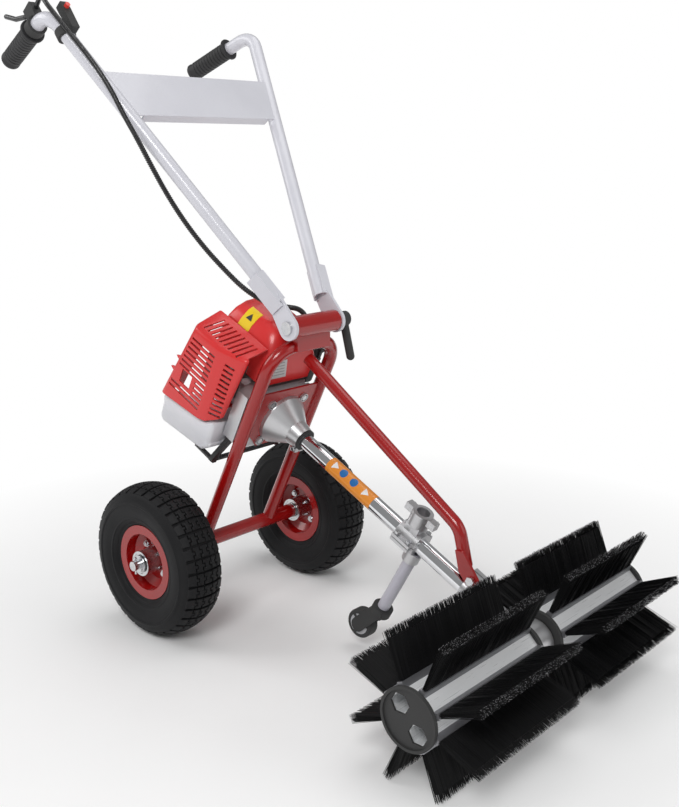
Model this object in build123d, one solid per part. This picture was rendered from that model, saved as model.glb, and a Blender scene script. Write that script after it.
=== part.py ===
from build123d import *
import os
from math import cos, radians, sin, tan

# Walk-behind power broom: a two-stroke engine on a two-wheeled frame drives two bristle rollers.
# +X points forward to the broom, +Y to the machine's left, +Z up. Z = 0 is the floor, and the
# origin is under the middle of the machine's length. All sizes are in millimetres.

# ---------------------------------------------------------------- driving dimensions
TYRE_RADIUS = 130.0
TYRE_HALF_WIDTH = 41.0
TRACK_HALF = 178.0
AXLE_RADIUS = 8.0

BRUSH_RADIUS = 113.0
BRUSH_COUNT = 8
BRUSH_TIP = 12.0
BRUSH_ROOT = 6.0
ROLLER_INNER_Y = 28.0
ROLLER_OUTER_Y = 270.0
CORE_HALF_FLATS = 37.0
CAP_RADIUS = 43.5

DRIVE_PITCH = 27.0
NOSE_AHEAD_OF_AXLE = 160.6
BRUSH_ALONG_DRIVE = 506.0
DRIVE_TUBE_RADIUS = 13.0
SHAFT_RADIUS = 4.0
CROSS_SHAFT_RADIUS = 6.0
RUNNING_CLEARANCE = 0.05

FRAME_TUBE_RADIUS = 11.0
HOOP_U = -50.0
HOOP_TOP_W = 149.0
HOOP_TOP_HALF = 73.5
HOOP_FOOT_HALF = 78.0

# Points in (distance ahead of the axle, height).
STRUT_ROUTE = [(186, 468), (489, 252.5), (503, 196)]
STRUT_TAB = [(492, 222), (506, 222), (533, 184), (531, 174.5), (521, 171.5), (511, 176.5), (499, 190)]
STRUT_BOLT_U = 392.0
STRUT_BOLT_W = 26.0

PIVOT_AHEAD_OF_AXLE = 196.0
PIVOT_HEIGHT = 525.0
PIVOT_HALF_LENGTH = 50.0
PIVOT_TUBE_RADIUS = 17.5
HANDLE_LEAN = 36.3
ARM_TUBE_RADIUS = 11.5
ARM_HALF_AT_PIVOT = 34.7
ARM_SPLAY = 0.3065
ARM_BEND_S = 598.5
GRIP_DROP = 22.8
GRIP_TOE_IN = 0.12
GRIP_START = 61.0
GRIP_END = 165.0
GRIP_RADIUS = 16.0

# ---------------------------------------------------------------- derived places
HALF_FIN_ANGLE = 180.0 / BRUSH_COUNT
BRUSH_HEIGHT = BRUSH_RADIUS * cos(radians(HALF_FIN_ANGLE)) + BRUSH_TIP / 2 * sin(radians(HALF_FIN_ANGLE))
BRUSH_AHEAD_OF_AXLE = NOSE_AHEAD_OF_AXLE + BRUSH_ALONG_DRIVE * cos(radians(DRIVE_PITCH))
NOSE_HEIGHT = BRUSH_HEIGHT + BRUSH_ALONG_DRIVE * sin(radians(DRIVE_PITCH))

LEAN_SIN = sin(radians(HANDLE_LEAN))
LEAN_COS = cos(radians(HANDLE_LEAN))
GRIP_BACK = cos(radians(GRIP_DROP))
GRIP_DOWN = sin(radians(GRIP_DROP))
BEND_BEHIND_PIVOT = ARM_BEND_S * LEAN_SIN
FRONT_REACH = BRUSH_AHEAD_OF_AXLE + BRUSH_HEIGHT
REAR_REACH = BEND_BEHIND_PIVOT - PIVOT_AHEAD_OF_AXLE + GRIP_END * GRIP_BACK + GRIP_RADIUS * GRIP_DOWN

AXLE_X = (REAR_REACH - FRONT_REACH) / 2
AXLE_Z = TYRE_RADIUS
BRUSH_X = AXLE_X + BRUSH_AHEAD_OF_AXLE
PIVOT_X = AXLE_X + PIVOT_AHEAD_OF_AXLE

# Drive-line frame: local X runs down along the drive tube, local Y is the machine's left, local Z
# stands square to the tube. Its origin is the nose of the clutch housing.
DRIVE = Plane(
    origin=(AXLE_X + NOSE_AHEAD_OF_AXLE, 0, NOSE_HEIGHT),
    x_dir=(cos(radians(DRIVE_PITCH)), 0, -sin(radians(DRIVE_PITCH))),
    z_dir=(sin(radians(DRIVE_PITCH)), 0, cos(radians(DRIVE_PITCH))),
)
# Handle frame: local Z runs up along the folded-out handle, local X is its front side.
HANDLE_ALONG = (LEAN_COS, 0, LEAN_SIN)
HANDLE = Plane(origin=(PIVOT_X, 0, PIVOT_HEIGHT), x_dir=HANDLE_ALONG, z_dir=(-LEAN_SIN, 0, LEAN_COS))

# ---------------------------------------------------------------- engine places (drive-line frame)
PLATE_THICKNESS = 4.0
PLATE_BACK_U = HOOP_U
PLATE_FRONT_U = PLATE_BACK_U + PLATE_THICKNESS
PLATE_BOLT = 37.0
FAN_CASE_FRONT_U = PLATE_BACK_U
FAN_CASE_BACK_U = -84.0
CRANKCASE_BACK_U = -150.0
CYLINDER_U = -117.0
CYLINDER_HALF = 38.0
CYLINDER_BASE_W = 38.0
CYLINDER_TOP_W = 128.0
BORE_RADIUS = 20.0
COVER_FRONT_U = -64.0
COVER_BACK_U = -152.0
TANK_NECK_U = -196.0
TANK_NECK_V = 48.0
STARTER_ROPE_U = -172.0
CLAMP_U = 268.0
CLAMP_HALF = 21.0
SOCKET_RADIUS = 11.0
SOCKET_OUTER = 17.0
SOCKET_BASE_W = 28.0
SOCKET_TOP_W = 52.0
LEG_RADIUS = 10.0
LEG_TOP = (285.0, -16.0)
LEG_FOOT = (279.0, -141.0)
CASTER_DROP = 57.0
CASTER_TRAIL = 18.0
CASTER_RADIUS = 24.5
CASTER_HALF_WIDTH = 10.0

# ---------------------------------------------------------------- gears
CROWN_TEETH = 30
PINION_TEETH = 10
GEAR_MEAN_RADIUS = 20.0
PINION_PITCH_RADIUS = GEAR_MEAN_RADIUS * PINION_TEETH / CROWN_TEETH
TOOTH_WIDTH = 1.2
TOOTH_HALF_HEIGHT = 1.0
GEAR_FACE_HALF = 2.0
HOUSING_RADIUS = 32.0
HOUSING_HALF = 19.0

# Throttle lever and stop switch on the right arm; the cable route is in the machine frame.
LEVER_PIVOT = (-45.0, 637.0)
LEVER_Y = -209.0
SWITCH_S = 556.0
SWITCH_Y = -201.0
CABLE_RADIUS = 4.5
CABLE_ROUTE = [
    (-404, -209, 1019), (-388, -213, 1030), (-365, -222, 1030), (-346, -227, 1016), (-328, -221, 995),
    (-306, -213, 969), (-283, -204, 941), (-262, -195, 912), (-246, -186, 882), (-232, -178, 849),
    (-215, -167, 813), (-203, -150, 769), (-190, -131, 724), (-173, -112, 682), (-151, -93, 643),
    (-126, -75, 609), (-99, -58, 578), (-68, -38, 556), (-53, -10, 549), (-53, 20, 543), (-62, 46, 525),
    (-79, 60, 502), (-95, 62, 486), (-106, 62, 466),
]


# ---------------------------------------------------------------- helpers
def rod(radius, start, end):
    """Round bar between two points."""
    along = Vector(*end) - Vector(*start)
    plane = Plane(origin=start, z_dir=along)
    return plane.location * Cylinder(radius, along.length, align=(Align.CENTER, Align.CENTER, Align.MIN))


def pipe(outer, inner, start, end):
    """Straight round tube between two points."""
    return rod(outer, start, end) - rod(inner, start, end)


def bent_pipe(points, bend, outer, inner):
    """Round tube whose centre line is straight runs joined by tangent bends."""
    path = FilletPolyline(*points, radius=bend)
    start = Plane(origin=path @ 0, z_dir=path % 0)
    return sweep(start * (Circle(outer) - Circle(inner)), path=path)


def block(u_range, v_range, w_range):
    """Rectangular block from its three ranges."""
    sizes = [high - low for low, high in (u_range, v_range, w_range)]
    middle = [(high + low) / 2 for low, high in (u_range, v_range, w_range)]
    return Pos(*middle) * Box(*sizes)


def rounded_block(u_range, v_range, w_range, radius):
    """Block whose edges along local Z are rounded."""
    solid = block(u_range, v_range, w_range)
    return fillet(solid.edges().filter_by(Axis.Z), radius)


def slab_u(points, u_start, u_end):
    """Prism along local X over a (y, z) outline."""
    section = Plane(origin=(u_start, 0, 0), x_dir=(0, 1, 0), z_dir=(1, 0, 0))
    face = section * make_face(Polyline(*points, close=True))
    return extrude(face, u_end - u_start, dir=(1, 0, 0))


def on_drive(*solids):
    """Group solids and place them in the drive-line frame."""
    return DRIVE.location * Compound(children=list(solids)) if len(solids) > 1 else DRIVE.location * solids[0]


def on_handle(*solids):
    """Group solids and place them in the handle frame."""
    shape = Compound(children=list(solids)) if len(solids) > 1 else solids[0]
    return HANDLE.location * shape


def group(*solids):
    """Group separate solids in one node."""
    return Compound(children=list(solids))


def hex_bolt(radius, start, end, head=0.55):
    """Bolt along a line, with a hexagonal head that starts at the first point."""
    along = (Vector(*end) - Vector(*start)).normalized()
    height = 1.3 * radius
    plane = Plane(origin=Vector(*start) - along * height, z_dir=along)
    hexagon = plane.location * extrude(RegularPolygon(radius / head, 6), height)
    return hexagon + rod(radius, start, end)


def arm_y(s):
    """Half spacing of the handle arms at a distance s up the handle."""
    return ARM_HALF_AT_PIVOT + ARM_SPLAY * s


def grip_direction(side):
    """Unit vector of a hand grip in the handle frame."""
    forward = -GRIP_BACK * LEAN_COS - GRIP_DOWN * LEAN_SIN
    upward = GRIP_BACK * LEAN_SIN - GRIP_DOWN * LEAN_COS
    return Vector(forward, -side * GRIP_TOE_IN, upward).normalized()


def on_grip(side, distance):
    """Point on a grip's centre line, at a distance from the arm's bend, in the handle frame."""
    return Vector(0, side * arm_y(ARM_BEND_S), ARM_BEND_S) + grip_direction(side) * distance


# ---------------------------------------------------------------- frame
def hoop_path():
    """Corner points of the frame hoop in the drive-line frame."""
    pitch = radians(DRIVE_PITCH)
    foot_w = -(NOSE_HEIGHT - AXLE_Z) * cos(pitch) - NOSE_AHEAD_OF_AXLE * sin(pitch)
    return [
        (HOOP_U, -HOOP_FOOT_HALF, foot_w),
        (HOOP_U, -HOOP_TOP_HALF, HOOP_TOP_W),
        (HOOP_U, HOOP_TOP_HALF, HOOP_TOP_W),
        (HOOP_U, HOOP_FOOT_HALF, foot_w),
    ]


def hoop_solid(inner):
    """Hoop tube, bored or solid, in the machine's frame."""
    path = FilletPolyline(*hoop_path(), radius=48)
    section = Circle(FRAME_TUBE_RADIUS)
    if inner > 0:
        section = section - Circle(inner)
    start = Plane(origin=path @ 0, z_dir=path % 0)
    return DRIVE.location * sweep(start * section, path=path)


def axle_point(y):
    """Point on the wheel axle."""
    return (AXLE_X, y, AXLE_Z)


def frame_hoop():
    """Bent hoop, with the axle tube welded across its feet."""
    half = 138
    hoop = hoop_solid(FRAME_TUBE_RADIUS - 2) - rod(13, axle_point(-half), axle_point(half))
    keep = max(hoop.solids(), key=lambda solid: solid.volume)
    return group(keep, pipe(13, AXLE_RADIUS + 0.2, axle_point(-half), axle_point(half)))


def engine_plate():
    """Flat plate between the hoop's legs that carries the engine."""
    outline = [(-66, 60), (66, 60), (66, -20), (40, -49), (-40, -49), (-66, -20)]
    plate = slab_u(outline, PLATE_BACK_U, PLATE_FRONT_U)
    plate -= rod(38, (PLATE_BACK_U - 1, 0, 0), (PLATE_FRONT_U + 1, 0, 0))
    for v in (-PLATE_BOLT, PLATE_BOLT):
        for w in (-PLATE_BOLT, PLATE_BOLT):
            plate -= rod(3.1, (PLATE_BACK_U - 1, v, w), (PLATE_FRONT_U + 1, v, w))
    plate = (DRIVE.location * plate) - hoop_solid(0)
    return max(plate.solids(), key=lambda solid: solid.volume)


def pivot_point(y):
    """Point on the handle's pivot axis."""
    return (PIVOT_X, y, PIVOT_HEIGHT)


def pivot_tube():
    """Cross tube that the handle turns on, with the gusset that joins it to the hoop."""
    ends = (pivot_point(-PIVOT_HALF_LENGTH), pivot_point(PIVOT_HALF_LENGTH))
    gusset = Pos(PIVOT_X - 5, 0, PIVOT_HEIGHT - 22) * Box(16, 76, 36)
    gusset -= rod(PIVOT_TUBE_RADIUS, *ends)
    gusset -= hoop_solid(0)
    gusset = max(gusset.solids(), key=lambda solid: solid.volume)
    return group(pipe(PIVOT_TUBE_RADIUS, 12, *ends), gusset)


def bushes():
    """Plain bearings of the pivot tube, the cross shaft and the drive shaft."""
    bore = CROSS_SHAFT_RADIUS + RUNNING_CLEARANCE
    pivot = [
        pipe(12, bore, pivot_point(side * 30), pivot_point(side * PIVOT_HALF_LENGTH))
        for side in (-1, 1)
    ]
    u = BRUSH_ALONG_DRIVE
    bore = CROSS_SHAFT_RADIUS + RUNNING_CLEARANCE
    cross = [
        pipe(11, bore, (u, side * (HOUSING_HALF - 4), 0), (u, side * HOUSING_HALF, 0))
        for side in (-1, 1)
    ]
    drive = pipe(10, SHAFT_RADIUS + RUNNING_CLEARANCE, (447, 0, 0), (464, 0, 0))
    nose = pipe(11.5, SHAFT_RADIUS + RUNNING_CLEARANCE, (-13, 0, 0), (6, 0, 0))
    placed = [DRIVE.location * solid for solid in (*cross, drive, nose)]
    return group(*pivot, *placed)


def front_strut():
    """Bent tube from the hoop to the gear housing, flattened to a drilled tab at its foot."""
    bolt = (DRIVE.location * Pos(STRUT_BOLT_U, 0, STRUT_BOLT_W)).position
    tube = bent_pipe([(AXLE_X + x, 0, z) for x, z in STRUT_ROUTE], 36, 10, 8)
    outline = make_face(Polyline(*[(AXLE_X + x, z) for x, z in STRUT_TAB], close=True))
    tab = extrude(Plane.XZ.offset(9) * outline, 5)
    tab -= rod(4.1, (bolt.X, -30, bolt.Z), (bolt.X, 30, bolt.Z))
    strut = (tube + tab) - hoop_solid(0)
    return max(strut.solids(), key=lambda solid: solid.volume)


def wheel_axle():
    """Steel axle, drilled at both ends for its cotter pins."""
    end = 231
    axle = rod(AXLE_RADIUS, axle_point(-end), axle_point(end))
    for side in (-1, 1):
        y = side * (end - 6)
        axle -= rod(1.8, (AXLE_X, y, AXLE_Z - 12), (AXLE_X, y, AXLE_Z + 12))
    return axle


def wheel_retainers():
    """Washers each side of each hub, and the cotter pins that hold them."""
    pieces = []
    for side in (-1, 1):
        inner, outer = TRACK_HALF - 39.5, TRACK_HALF + 37.5
        pieces.append(pipe(14, AXLE_RADIUS, axle_point(side * inner), axle_point(side * (inner + 2))))
        pieces.append(pipe(15, AXLE_RADIUS, axle_point(side * outer), axle_point(side * (outer + 3))))
        y = side * 225
        pin = rod(1.6, (AXLE_X, y, AXLE_Z - 15), (AXLE_X, y, AXLE_Z + 11)) + Pos(AXLE_X, y, AXLE_Z + 12) * Sphere(3)
        pieces.append(pin)
    return group(*pieces)


def steel_bolts():
    """Engine plate bolts, tube clamp bolts and the strut bolt."""
    pieces = []
    for v in (-PLATE_BOLT, PLATE_BOLT):
        for w in (-PLATE_BOLT, PLATE_BOLT):
            pieces.append(hex_bolt(3, (PLATE_FRONT_U, v, w), (PLATE_BACK_U - 9, v, w)))
    for u in (CLAMP_U - 12, CLAMP_U + 12):
        for v in (-24.5, 24.5):
            pieces.append(hex_bolt(2.5, (u, v, 8), (u, v, -8)))
    for u in (CLAMP_U - 24, CLAMP_U + 24):
        pieces.append(hex_bolt(2.5, (u, 6.5, SOCKET_TOP_W - 7), (u, -6.5, SOCKET_TOP_W - 7)))
    pieces.append(hex_bolt(4, (STRUT_BOLT_U, -14, STRUT_BOLT_W), (STRUT_BOLT_U, 12, STRUT_BOLT_W)))
    return on_drive(*pieces)


# ---------------------------------------------------------------- engine
def clutch_housing():
    """Cast cone between the engine plate and the drive tube, with its clamped nose."""
    outside = [(PLATE_FRONT_U, 0), (PLATE_FRONT_U, 46), (-40, 45), (-6, 23), (14, 19), (14, 0)]
    inside = [(PLATE_FRONT_U - 1, 0), (PLATE_FRONT_U - 1, 40), (-38, 39), (-14, 20), (-14, 0)]
    profile = make_face(Polyline(*outside, close=True)) - make_face(Polyline(*inside, close=True))
    cone = revolve(Plane.XZ * profile, axis=Axis.X)
    cone -= rod(11.5, (-20, 0, 0), (7, 0, 0))
    cone -= rod(DRIVE_TUBE_RADIUS, (6, 0, 0), (20, 0, 0))
    for v in (-PLATE_BOLT, PLATE_BOLT):
        for w in (-PLATE_BOLT, PLATE_BOLT):
            foot = rod(8, (PLATE_FRONT_U, v, w), (PLATE_FRONT_U + 4, v, w))
            cone -= rod(6, (PLATE_FRONT_U + 4, v, w), (PLATE_FRONT_U + 30, v, w))
            cone += foot
    for v in (-PLATE_BOLT, PLATE_BOLT):
        for w in (-PLATE_BOLT, PLATE_BOLT):
            cone -= rod(6.4, (PLATE_FRONT_U - 1, v, w), (PLATE_FRONT_U + 5, v, w))
    pinch = block((4, 13), (-9, 9), (-27, -14))
    pinch -= block((3, 14), (-1, 1), (-28, -10))
    return on_drive(cone + pinch)


def fan_case_outline(shrink):
    """Outline of the fan case in (y, z), drawn in by a wall thickness."""
    k = shrink
    return [(-80 + k, -44 + k), (-40, -62 + k), (40, -62 + k), (60 - k, -30), (60 - k, 30), (46 - k, 60 - k),
            (-46 + k, 60 - k), (-80 + k, 46 - k)]


def fan_case():
    """Cast fan housing behind the plate, open at the back."""
    step_u = FAN_CASE_FRONT_U - 12
    case = slab_u(fan_case_outline(0), FAN_CASE_BACK_U, step_u)
    case += slab_u([(-58, -50), (58, -50), (58, 52), (-58, 52)], step_u, FAN_CASE_FRONT_U)
    case -= slab_u(fan_case_outline(4), FAN_CASE_BACK_U - 1, step_u - 1)
    case -= rod(36, (FAN_CASE_BACK_U, 0, 0), (FAN_CASE_FRONT_U + 1, 0, 0))
    for v in (-PLATE_BOLT, PLATE_BOLT):
        for w in (-PLATE_BOLT, PLATE_BOLT):
            case -= rod(3, (PLATE_BACK_U - 9, v, w), (PLATE_BACK_U + 1, v, w))
    return on_drive(case)


def crankcase():
    """Cast crankcase with its front flange, hollow round the crank."""
    body = rod(38, (CRANKCASE_BACK_U, 0, 0), (FAN_CASE_BACK_U - 4, 0, 0))
    body += block((-142, -92), (-30, 30), (20, CYLINDER_BASE_W))
    body += slab_u(fan_case_outline(0), FAN_CASE_BACK_U - 4, FAN_CASE_BACK_U)
    body -= rod(30, (-138, 0, 0), (-96, 0, 0))
    body -= rod(BORE_RADIUS + 2, (CYLINDER_U, 0, 0), (CYLINDER_U, 0, CYLINDER_BASE_W + 1))
    body -= rod(8 + RUNNING_CLEARANCE, (CRANKCASE_BACK_U - 1, 0, 0), (FAN_CASE_BACK_U + 1, 0, 0))
    return on_drive(body)


def cylinder():
    """Finned cylinder, with the piston and its rod inside it."""
    base, top = CYLINDER_BASE_W, CYLINDER_TOP_W
    barrel = rod(BORE_RADIUS + 6, (CYLINDER_U, 0, base), (CYLINDER_U, 0, top))
    fins = 9
    pitch = (top - base - 12) / (fins - 1)
    for index in range(fins):
        w = base + 8 + index * pitch
        half = CYLINDER_HALF
        barrel += rounded_block((CYLINDER_U - 28.5, CYLINDER_U + 28.5), (-half, half), (w, w + 3), 8)
    barrel += block((CYLINDER_U - 20, CYLINDER_U + 20), (-44, -20), (48, 84))
    barrel += block((CYLINDER_U - 16, CYLINDER_U + 16), (20, 46), (48, 78))
    barrel -= rod(BORE_RADIUS, (CYLINDER_U, 0, base - 1), (CYLINDER_U, 0, top - 8))
    barrel -= rod(5, (CYLINDER_U, 0, top - 9), (CYLINDER_U, 0, top + 1))
    piston = rod(BORE_RADIUS - 0.1, (CYLINDER_U, 0, 68), (CYLINDER_U, 0, 98))
    piston -= rod(BORE_RADIUS - 3, (CYLINDER_U, 0, 67), (CYLINDER_U, 0, 93))
    link = block((CYLINDER_U - 3, CYLINDER_U + 3), (-5, 5), (26, 93))
    return on_drive(barrel, piston + link)


def spark_plug():
    """Spark plug under its rubber boot."""
    top = CYLINDER_TOP_W
    plug = rod(5, (CYLINDER_U, 0, top - 8), (CYLINDER_U, 0, top))
    plug += rod(8.5, (CYLINDER_U, 0, top), (CYLINDER_U, 0, top + 8))
    plug += rod(5.5, (CYLINDER_U, 0, top + 8), (CYLINDER_U, 0, top + 30))
    return on_drive(plug)


def engine_cover():
    """Red shroud over the cylinder, open underneath."""
    outline = [(-56, 64), (-56, 134), (-40, 147), (-30, 160), (20, 164), (42, 146), (52, 108), (52, 64)]
    inner = [(-53.5, 60), (-53.5, 133), (-38.5, 145), (-29, 157.5), (19, 161.5), (40, 145), (49.5, 107),
             (49.5, 60)]
    shell = slab_u(outline, COVER_BACK_U, COVER_FRONT_U)
    shell -= slab_u(inner, COVER_BACK_U + 2.5, COVER_FRONT_U - 2.5)
    front = COVER_FRONT_U
    chamfer = [(front - 30, 180), (front + 10, 180), (front + 10, 112), (front - 4, 118)]
    skin = [(front - 32, 162), (front - 28, 162), (front, 118), (front - 3.5, 117)]
    shell -= extrude(Plane.XZ.offset(-100) * make_face(Polyline(*chamfer, close=True)), 200)
    slope = extrude(Plane.XZ.offset(-100) * make_face(Polyline(*skin, close=True)), 200)
    shell += slope & slab_u(outline, COVER_BACK_U, COVER_FRONT_U)
    shell -= block((-140, -92), (-60, -48), (60, 98))
    shell -= block((-140, -94), (44, 60), (60, 96))
    return on_drive(shell)


def muffler():
    """Steel silencer bolted to the exhaust port."""
    can = rounded_block((-160, -94), (-100, -66), (24, 92), 10)
    can += block((CYLINDER_U - 14, CYLINDER_U + 14), (-67, -44.2), (54, 78))
    can += rod(6, (-160, -82, 34), (-168, -82, 34))
    return on_drive(can)


def guard_body(shrink):
    """Muffler guard's solid form, drawn in by a wall thickness, with its inner side at y = -58."""
    k = shrink
    open_v = -58 + 4 * k
    outline = [(open_v, -39 + k), (-110 + k, -39 + k), (-110 + k, 96 - k / 2), (-106 + k / 2, 104 - k),
               (open_v, 135 + 0.646 * (open_v + 58) - 1.2 * k)]
    form = slab_u(outline, -228, -72)
    rear = [(-260, -60), (-226 + k, -60), (-196 + k, 104), (-196 + k, 160), (-260, 160)]
    form -= extrude(Plane.XZ.offset(-200) * make_face(Polyline(*rear, close=True)), 400)
    front = [(-114, -130), (-114 - k / 2, -110 + k), (-74, -94 + k), (-74, -130)]
    form -= Pos(0, 0, -60) * extrude(make_face(Polyline(*front, close=True)), 240)
    return form


def muffler_guard():
    """Slotted red guard round the silencer, open on its inner side, with a shoulder behind the shroud."""
    wall = 2.5
    shell = guard_body(0) - guard_body(wall) - block((-112, -60), (-88, -50), (-60, 200))
    shoulder = slab_u([(-34, 66), (-58.5, 66), (-58.5, 134), (-40, 147), (-34, 152)], -198, COVER_BACK_U)
    shoulder -= slab_u([(-36, 60), (-60, 60), (-60, 131), (-40, 144), (-36, 148)], -195.5, COVER_BACK_U + 1)
    shell = shell + shoulder
    pitch = 11.0
    for index in range(11):
        w = -22 + index * pitch
        shell -= block((-196, -122), (-115, -104), (w, w + 5))
        shell -= block((-108, -80), (-112, -88), (w, w + 5))
    shell -= block((-190, -164), (-115, -100), (2, 26))
    shell = max(shell.solids(), key=lambda solid: solid.volume)
    return on_drive(shell)


def tank_form(shrink, corner):
    """Tank's solid form, drawn in by a wall thickness."""
    k = shrink
    side = [
        (-217 + 1.3 * k, -65 - k),
        (-207 + k, -98 + k),
        (-102 - 0.4 * k, -83 + k),
        (-88 - 1.3 * k, -65 - k),
    ]
    form = extrude(Plane.XZ.offset(-66 + k) * make_face(Polyline(*side, close=True)), 172 - 2 * k)
    return fillet(form.edges().filter_by(Axis.Y), corner)


def fuel_tank():
    """Translucent blow-moulded tank, hollow, with a threaded neck for its cap."""
    outer = tank_form(0, 7)
    outer = fillet(outer.faces().filter_by(Axis.Y).edges(), 5)
    outer += rod(14, (TANK_NECK_U, TANK_NECK_V, -67), (TANK_NECK_U, TANK_NECK_V, -52))
    neck_bore = rod(11.5, (TANK_NECK_U, TANK_NECK_V, -80), (TANK_NECK_U, TANK_NECK_V, -50))
    return on_drive(outer - tank_form(2.5, 4.5) - neck_bore)


def tank_guard():
    """Black bent strap that carries the tank's front edge under the fan case."""
    front, back = -74, -82
    sloped = slab_u([(-100, -90), (-92, -90), (-60, -48), (-60, -36), (-66, -36), (-100, -84)], back, front)
    strap = sloped + slab_u([(-100, -90), (58, -90), (58, -86), (-100, -86)], back, front)
    strap += slab_u([(52, -90), (58, -90), (58, -36), (54, -36)], back, front)
    for v in (-96, 50):
        strap += block((-124, front), (v, v + 8), (-93, -89))
    strap -= slab_u(fan_case_outline(-0.2), back - 1, front + 1)
    strap -= block((-200, -83), (-110, 70), (-88.5, -60))
    strap = max(strap.solids(), key=lambda solid: solid.volume)
    return on_drive(strap)


def recoil_starter():
    """Round starter housing with cooling slots, closed on the engine's back."""
    shell = rod(52, (-186, 0, 0), (CRANKCASE_BACK_U, 0, 0))
    shell -= rod(49, (-183, 0, 0), (CRANKCASE_BACK_U + 1, 0, 0))
    shell = fillet(shell.faces().sort_by(Axis.X)[0].edges().sort_by(SortBy.RADIUS)[-1:], 3)
    for index in range(8):
        slot = Pos(-185, 0, 0) * (Rot(45 * index, 0, 0) * (Pos(0, 0, 32) * Box(12, 5, 22)))
        shell -= slot
    guide = starter_axis(0)
    shell += rod(9, tuple(guide - starter_direction() * 10), tuple(guide + starter_direction() * 6))
    shell -= rod(49, (-183, 0, 0), (CRANKCASE_BACK_U + 1, 0, 0))
    shell -= rod(2.6, tuple(guide - starter_direction() * 20), tuple(guide + starter_direction() * 20))
    return on_drive(shell)


def starter_direction():
    """Direction in which the starter rope is pulled, in the drive-line frame."""
    return Vector(0, 0.5, 0.866).normalized()


def starter_axis(distance):
    """Point on the starter rope, measured from the starter housing's rim."""
    return Vector(STARTER_ROPE_U, 0, 0) + starter_direction() * (52 + distance)


def starter_grip():
    """Moulded T grip on the starter rope."""
    middle = starter_axis(20)
    bar = rod(7.5, (middle.X - 17, middle.Y, middle.Z), (middle.X + 17, middle.Y, middle.Z))
    stem = rod(5, tuple(starter_axis(9)), tuple(middle))
    return on_drive(bar + stem)


def starter_rope():
    """Short length of rope that shows between the starter housing and its grip."""
    return on_drive(rod(1.9, tuple(starter_axis(-6)), tuple(starter_axis(9))))


def air_filter_cover():
    """Black air cleaner box on the left of the carburettor."""
    box = rounded_block((-152, -86), (78, 104), (26, 102), 9)
    box = fillet(box.edges().group_by(Axis.Y)[-1], 6)
    box -= rounded_block((-149, -89), (77, 101), (29, 99), 7)
    back = block((-150, -88), (75, 78), (28, 100)) - rod(8, (-118, 70, 62), (-118, 80, 62))
    return on_drive(box, back)


def carburettor():
    """Diaphragm carburettor between the inlet port and the air cleaner."""
    body = block((-134, -102), (46.2, 75), (46, 78)) - rod(8, (-118, 40, 62), (-118, 80, 62))
    body += rod(7, (-118, 62, 78), (-118, 62, 84)) - rod(5, (-118, 62, 80), (-118, 62, 85))
    body += rod(10, (-118, 60, 47), (-118, 60, 41))
    body -= rod(8.8, (-118, 60, 45.5), (-118, 60, 40))
    return on_drive(body)


def primer_bulb():
    """Soft bulb under the carburettor."""
    dome = Pos(-118, 60, 41.6) * (Sphere(8.5) - Pos(0, 0, 10) * Box(20, 20, 20))
    return on_drive(dome - Pos(-118, 60, 41.6) * Sphere(6.5))


def choke_lever():
    """Small choke lever on the front of the air cleaner."""
    pivot_v, pivot_w, face_u = 90, 80, -85.7
    lever = rod(4.5, (face_u, pivot_v, pivot_w), (face_u + 4, pivot_v, pivot_w))
    lever += block((face_u + 0.5, face_u + 3.5), (pivot_v - 3, pivot_v + 3), (pivot_w, pivot_w + 20))
    lever += rod(5, (face_u + 0.5, pivot_v, pivot_w + 20), (face_u + 5.5, pivot_v, pivot_w + 20))
    return on_drive(lever)


def fuel_cap():
    """Ribbed cap on the tank's neck."""
    u, v = TANK_NECK_U, TANK_NECK_V
    cap = rod(17, (u, v, -62), (u, v, -45)) - rod(14.3, (u, v, -63), (u, v, -50))
    for index in range(12):
        cap += Pos(u, v, -53.5) * (Rot(0, 0, 30 * index) * (Pos(17, 0, 0) * Box(3, 3, 17)))
    return on_drive(cap)


def crankshaft():
    """Crankshaft with its two webs, and the clutch rotor on its nose."""
    shaft = rod(8, (-182, 0, 0), (-58, 0, 0)) - rod(9, (-112, 0, 0), (-122, 0, 0))
    shaft += rod(26, (-132, 0, 0), (-124, 0, 0)) + rod(26, (-110, 0, 0), (-102, 0, 0))
    pin = rod(5, (-126, 0, 15), (-108, 0, 15))
    rotor = rod(10, (-58, 0, 0), (-42, 0, 0))
    for index in range(2):
        shoe = rod(28, (-54, 0, 0), (-44, 0, 0)) - rod(16, (-55, 0, 0), (-43, 0, 0))
        half = shoe & block((-60, -40), (-30, 30), (2, 30))
        link = block((-52, -46), (-4, 4), (8, 20))
        rotor += Rot(180 * index, 0, 0) * (half + link)
    return on_drive(shaft + pin + rotor)


def flywheel():
    """Finned flywheel that blows the cooling air."""
    disc = rod(46, (-78, 0, 0), (-72, 0, 0)) + rod(15, (-80, 0, 0), (-63, 0, 0))
    for index in range(12):
        disc += Rot(30 * index, 0, 0) * block((-72.5, -64), (-1.2, 1.2), (20, 45))
    return on_drive(disc - rod(8, (-90, 0, 0), (-50, 0, 0)))


def clutch_drum():
    """Drum round the clutch rotor, on the top end of the drive shaft."""
    cup = rod(33, (-56, 0, 0), (-36, 0, 0)) - rod(30, (-57, 0, 0), (-39, 0, 0))
    cup += rod(9, (-39, 0, 0), (-22, 0, 0))
    return on_drive(cup - rod(SHAFT_RADIUS, (-60, 0, 0), (-10, 0, 0)))


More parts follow.
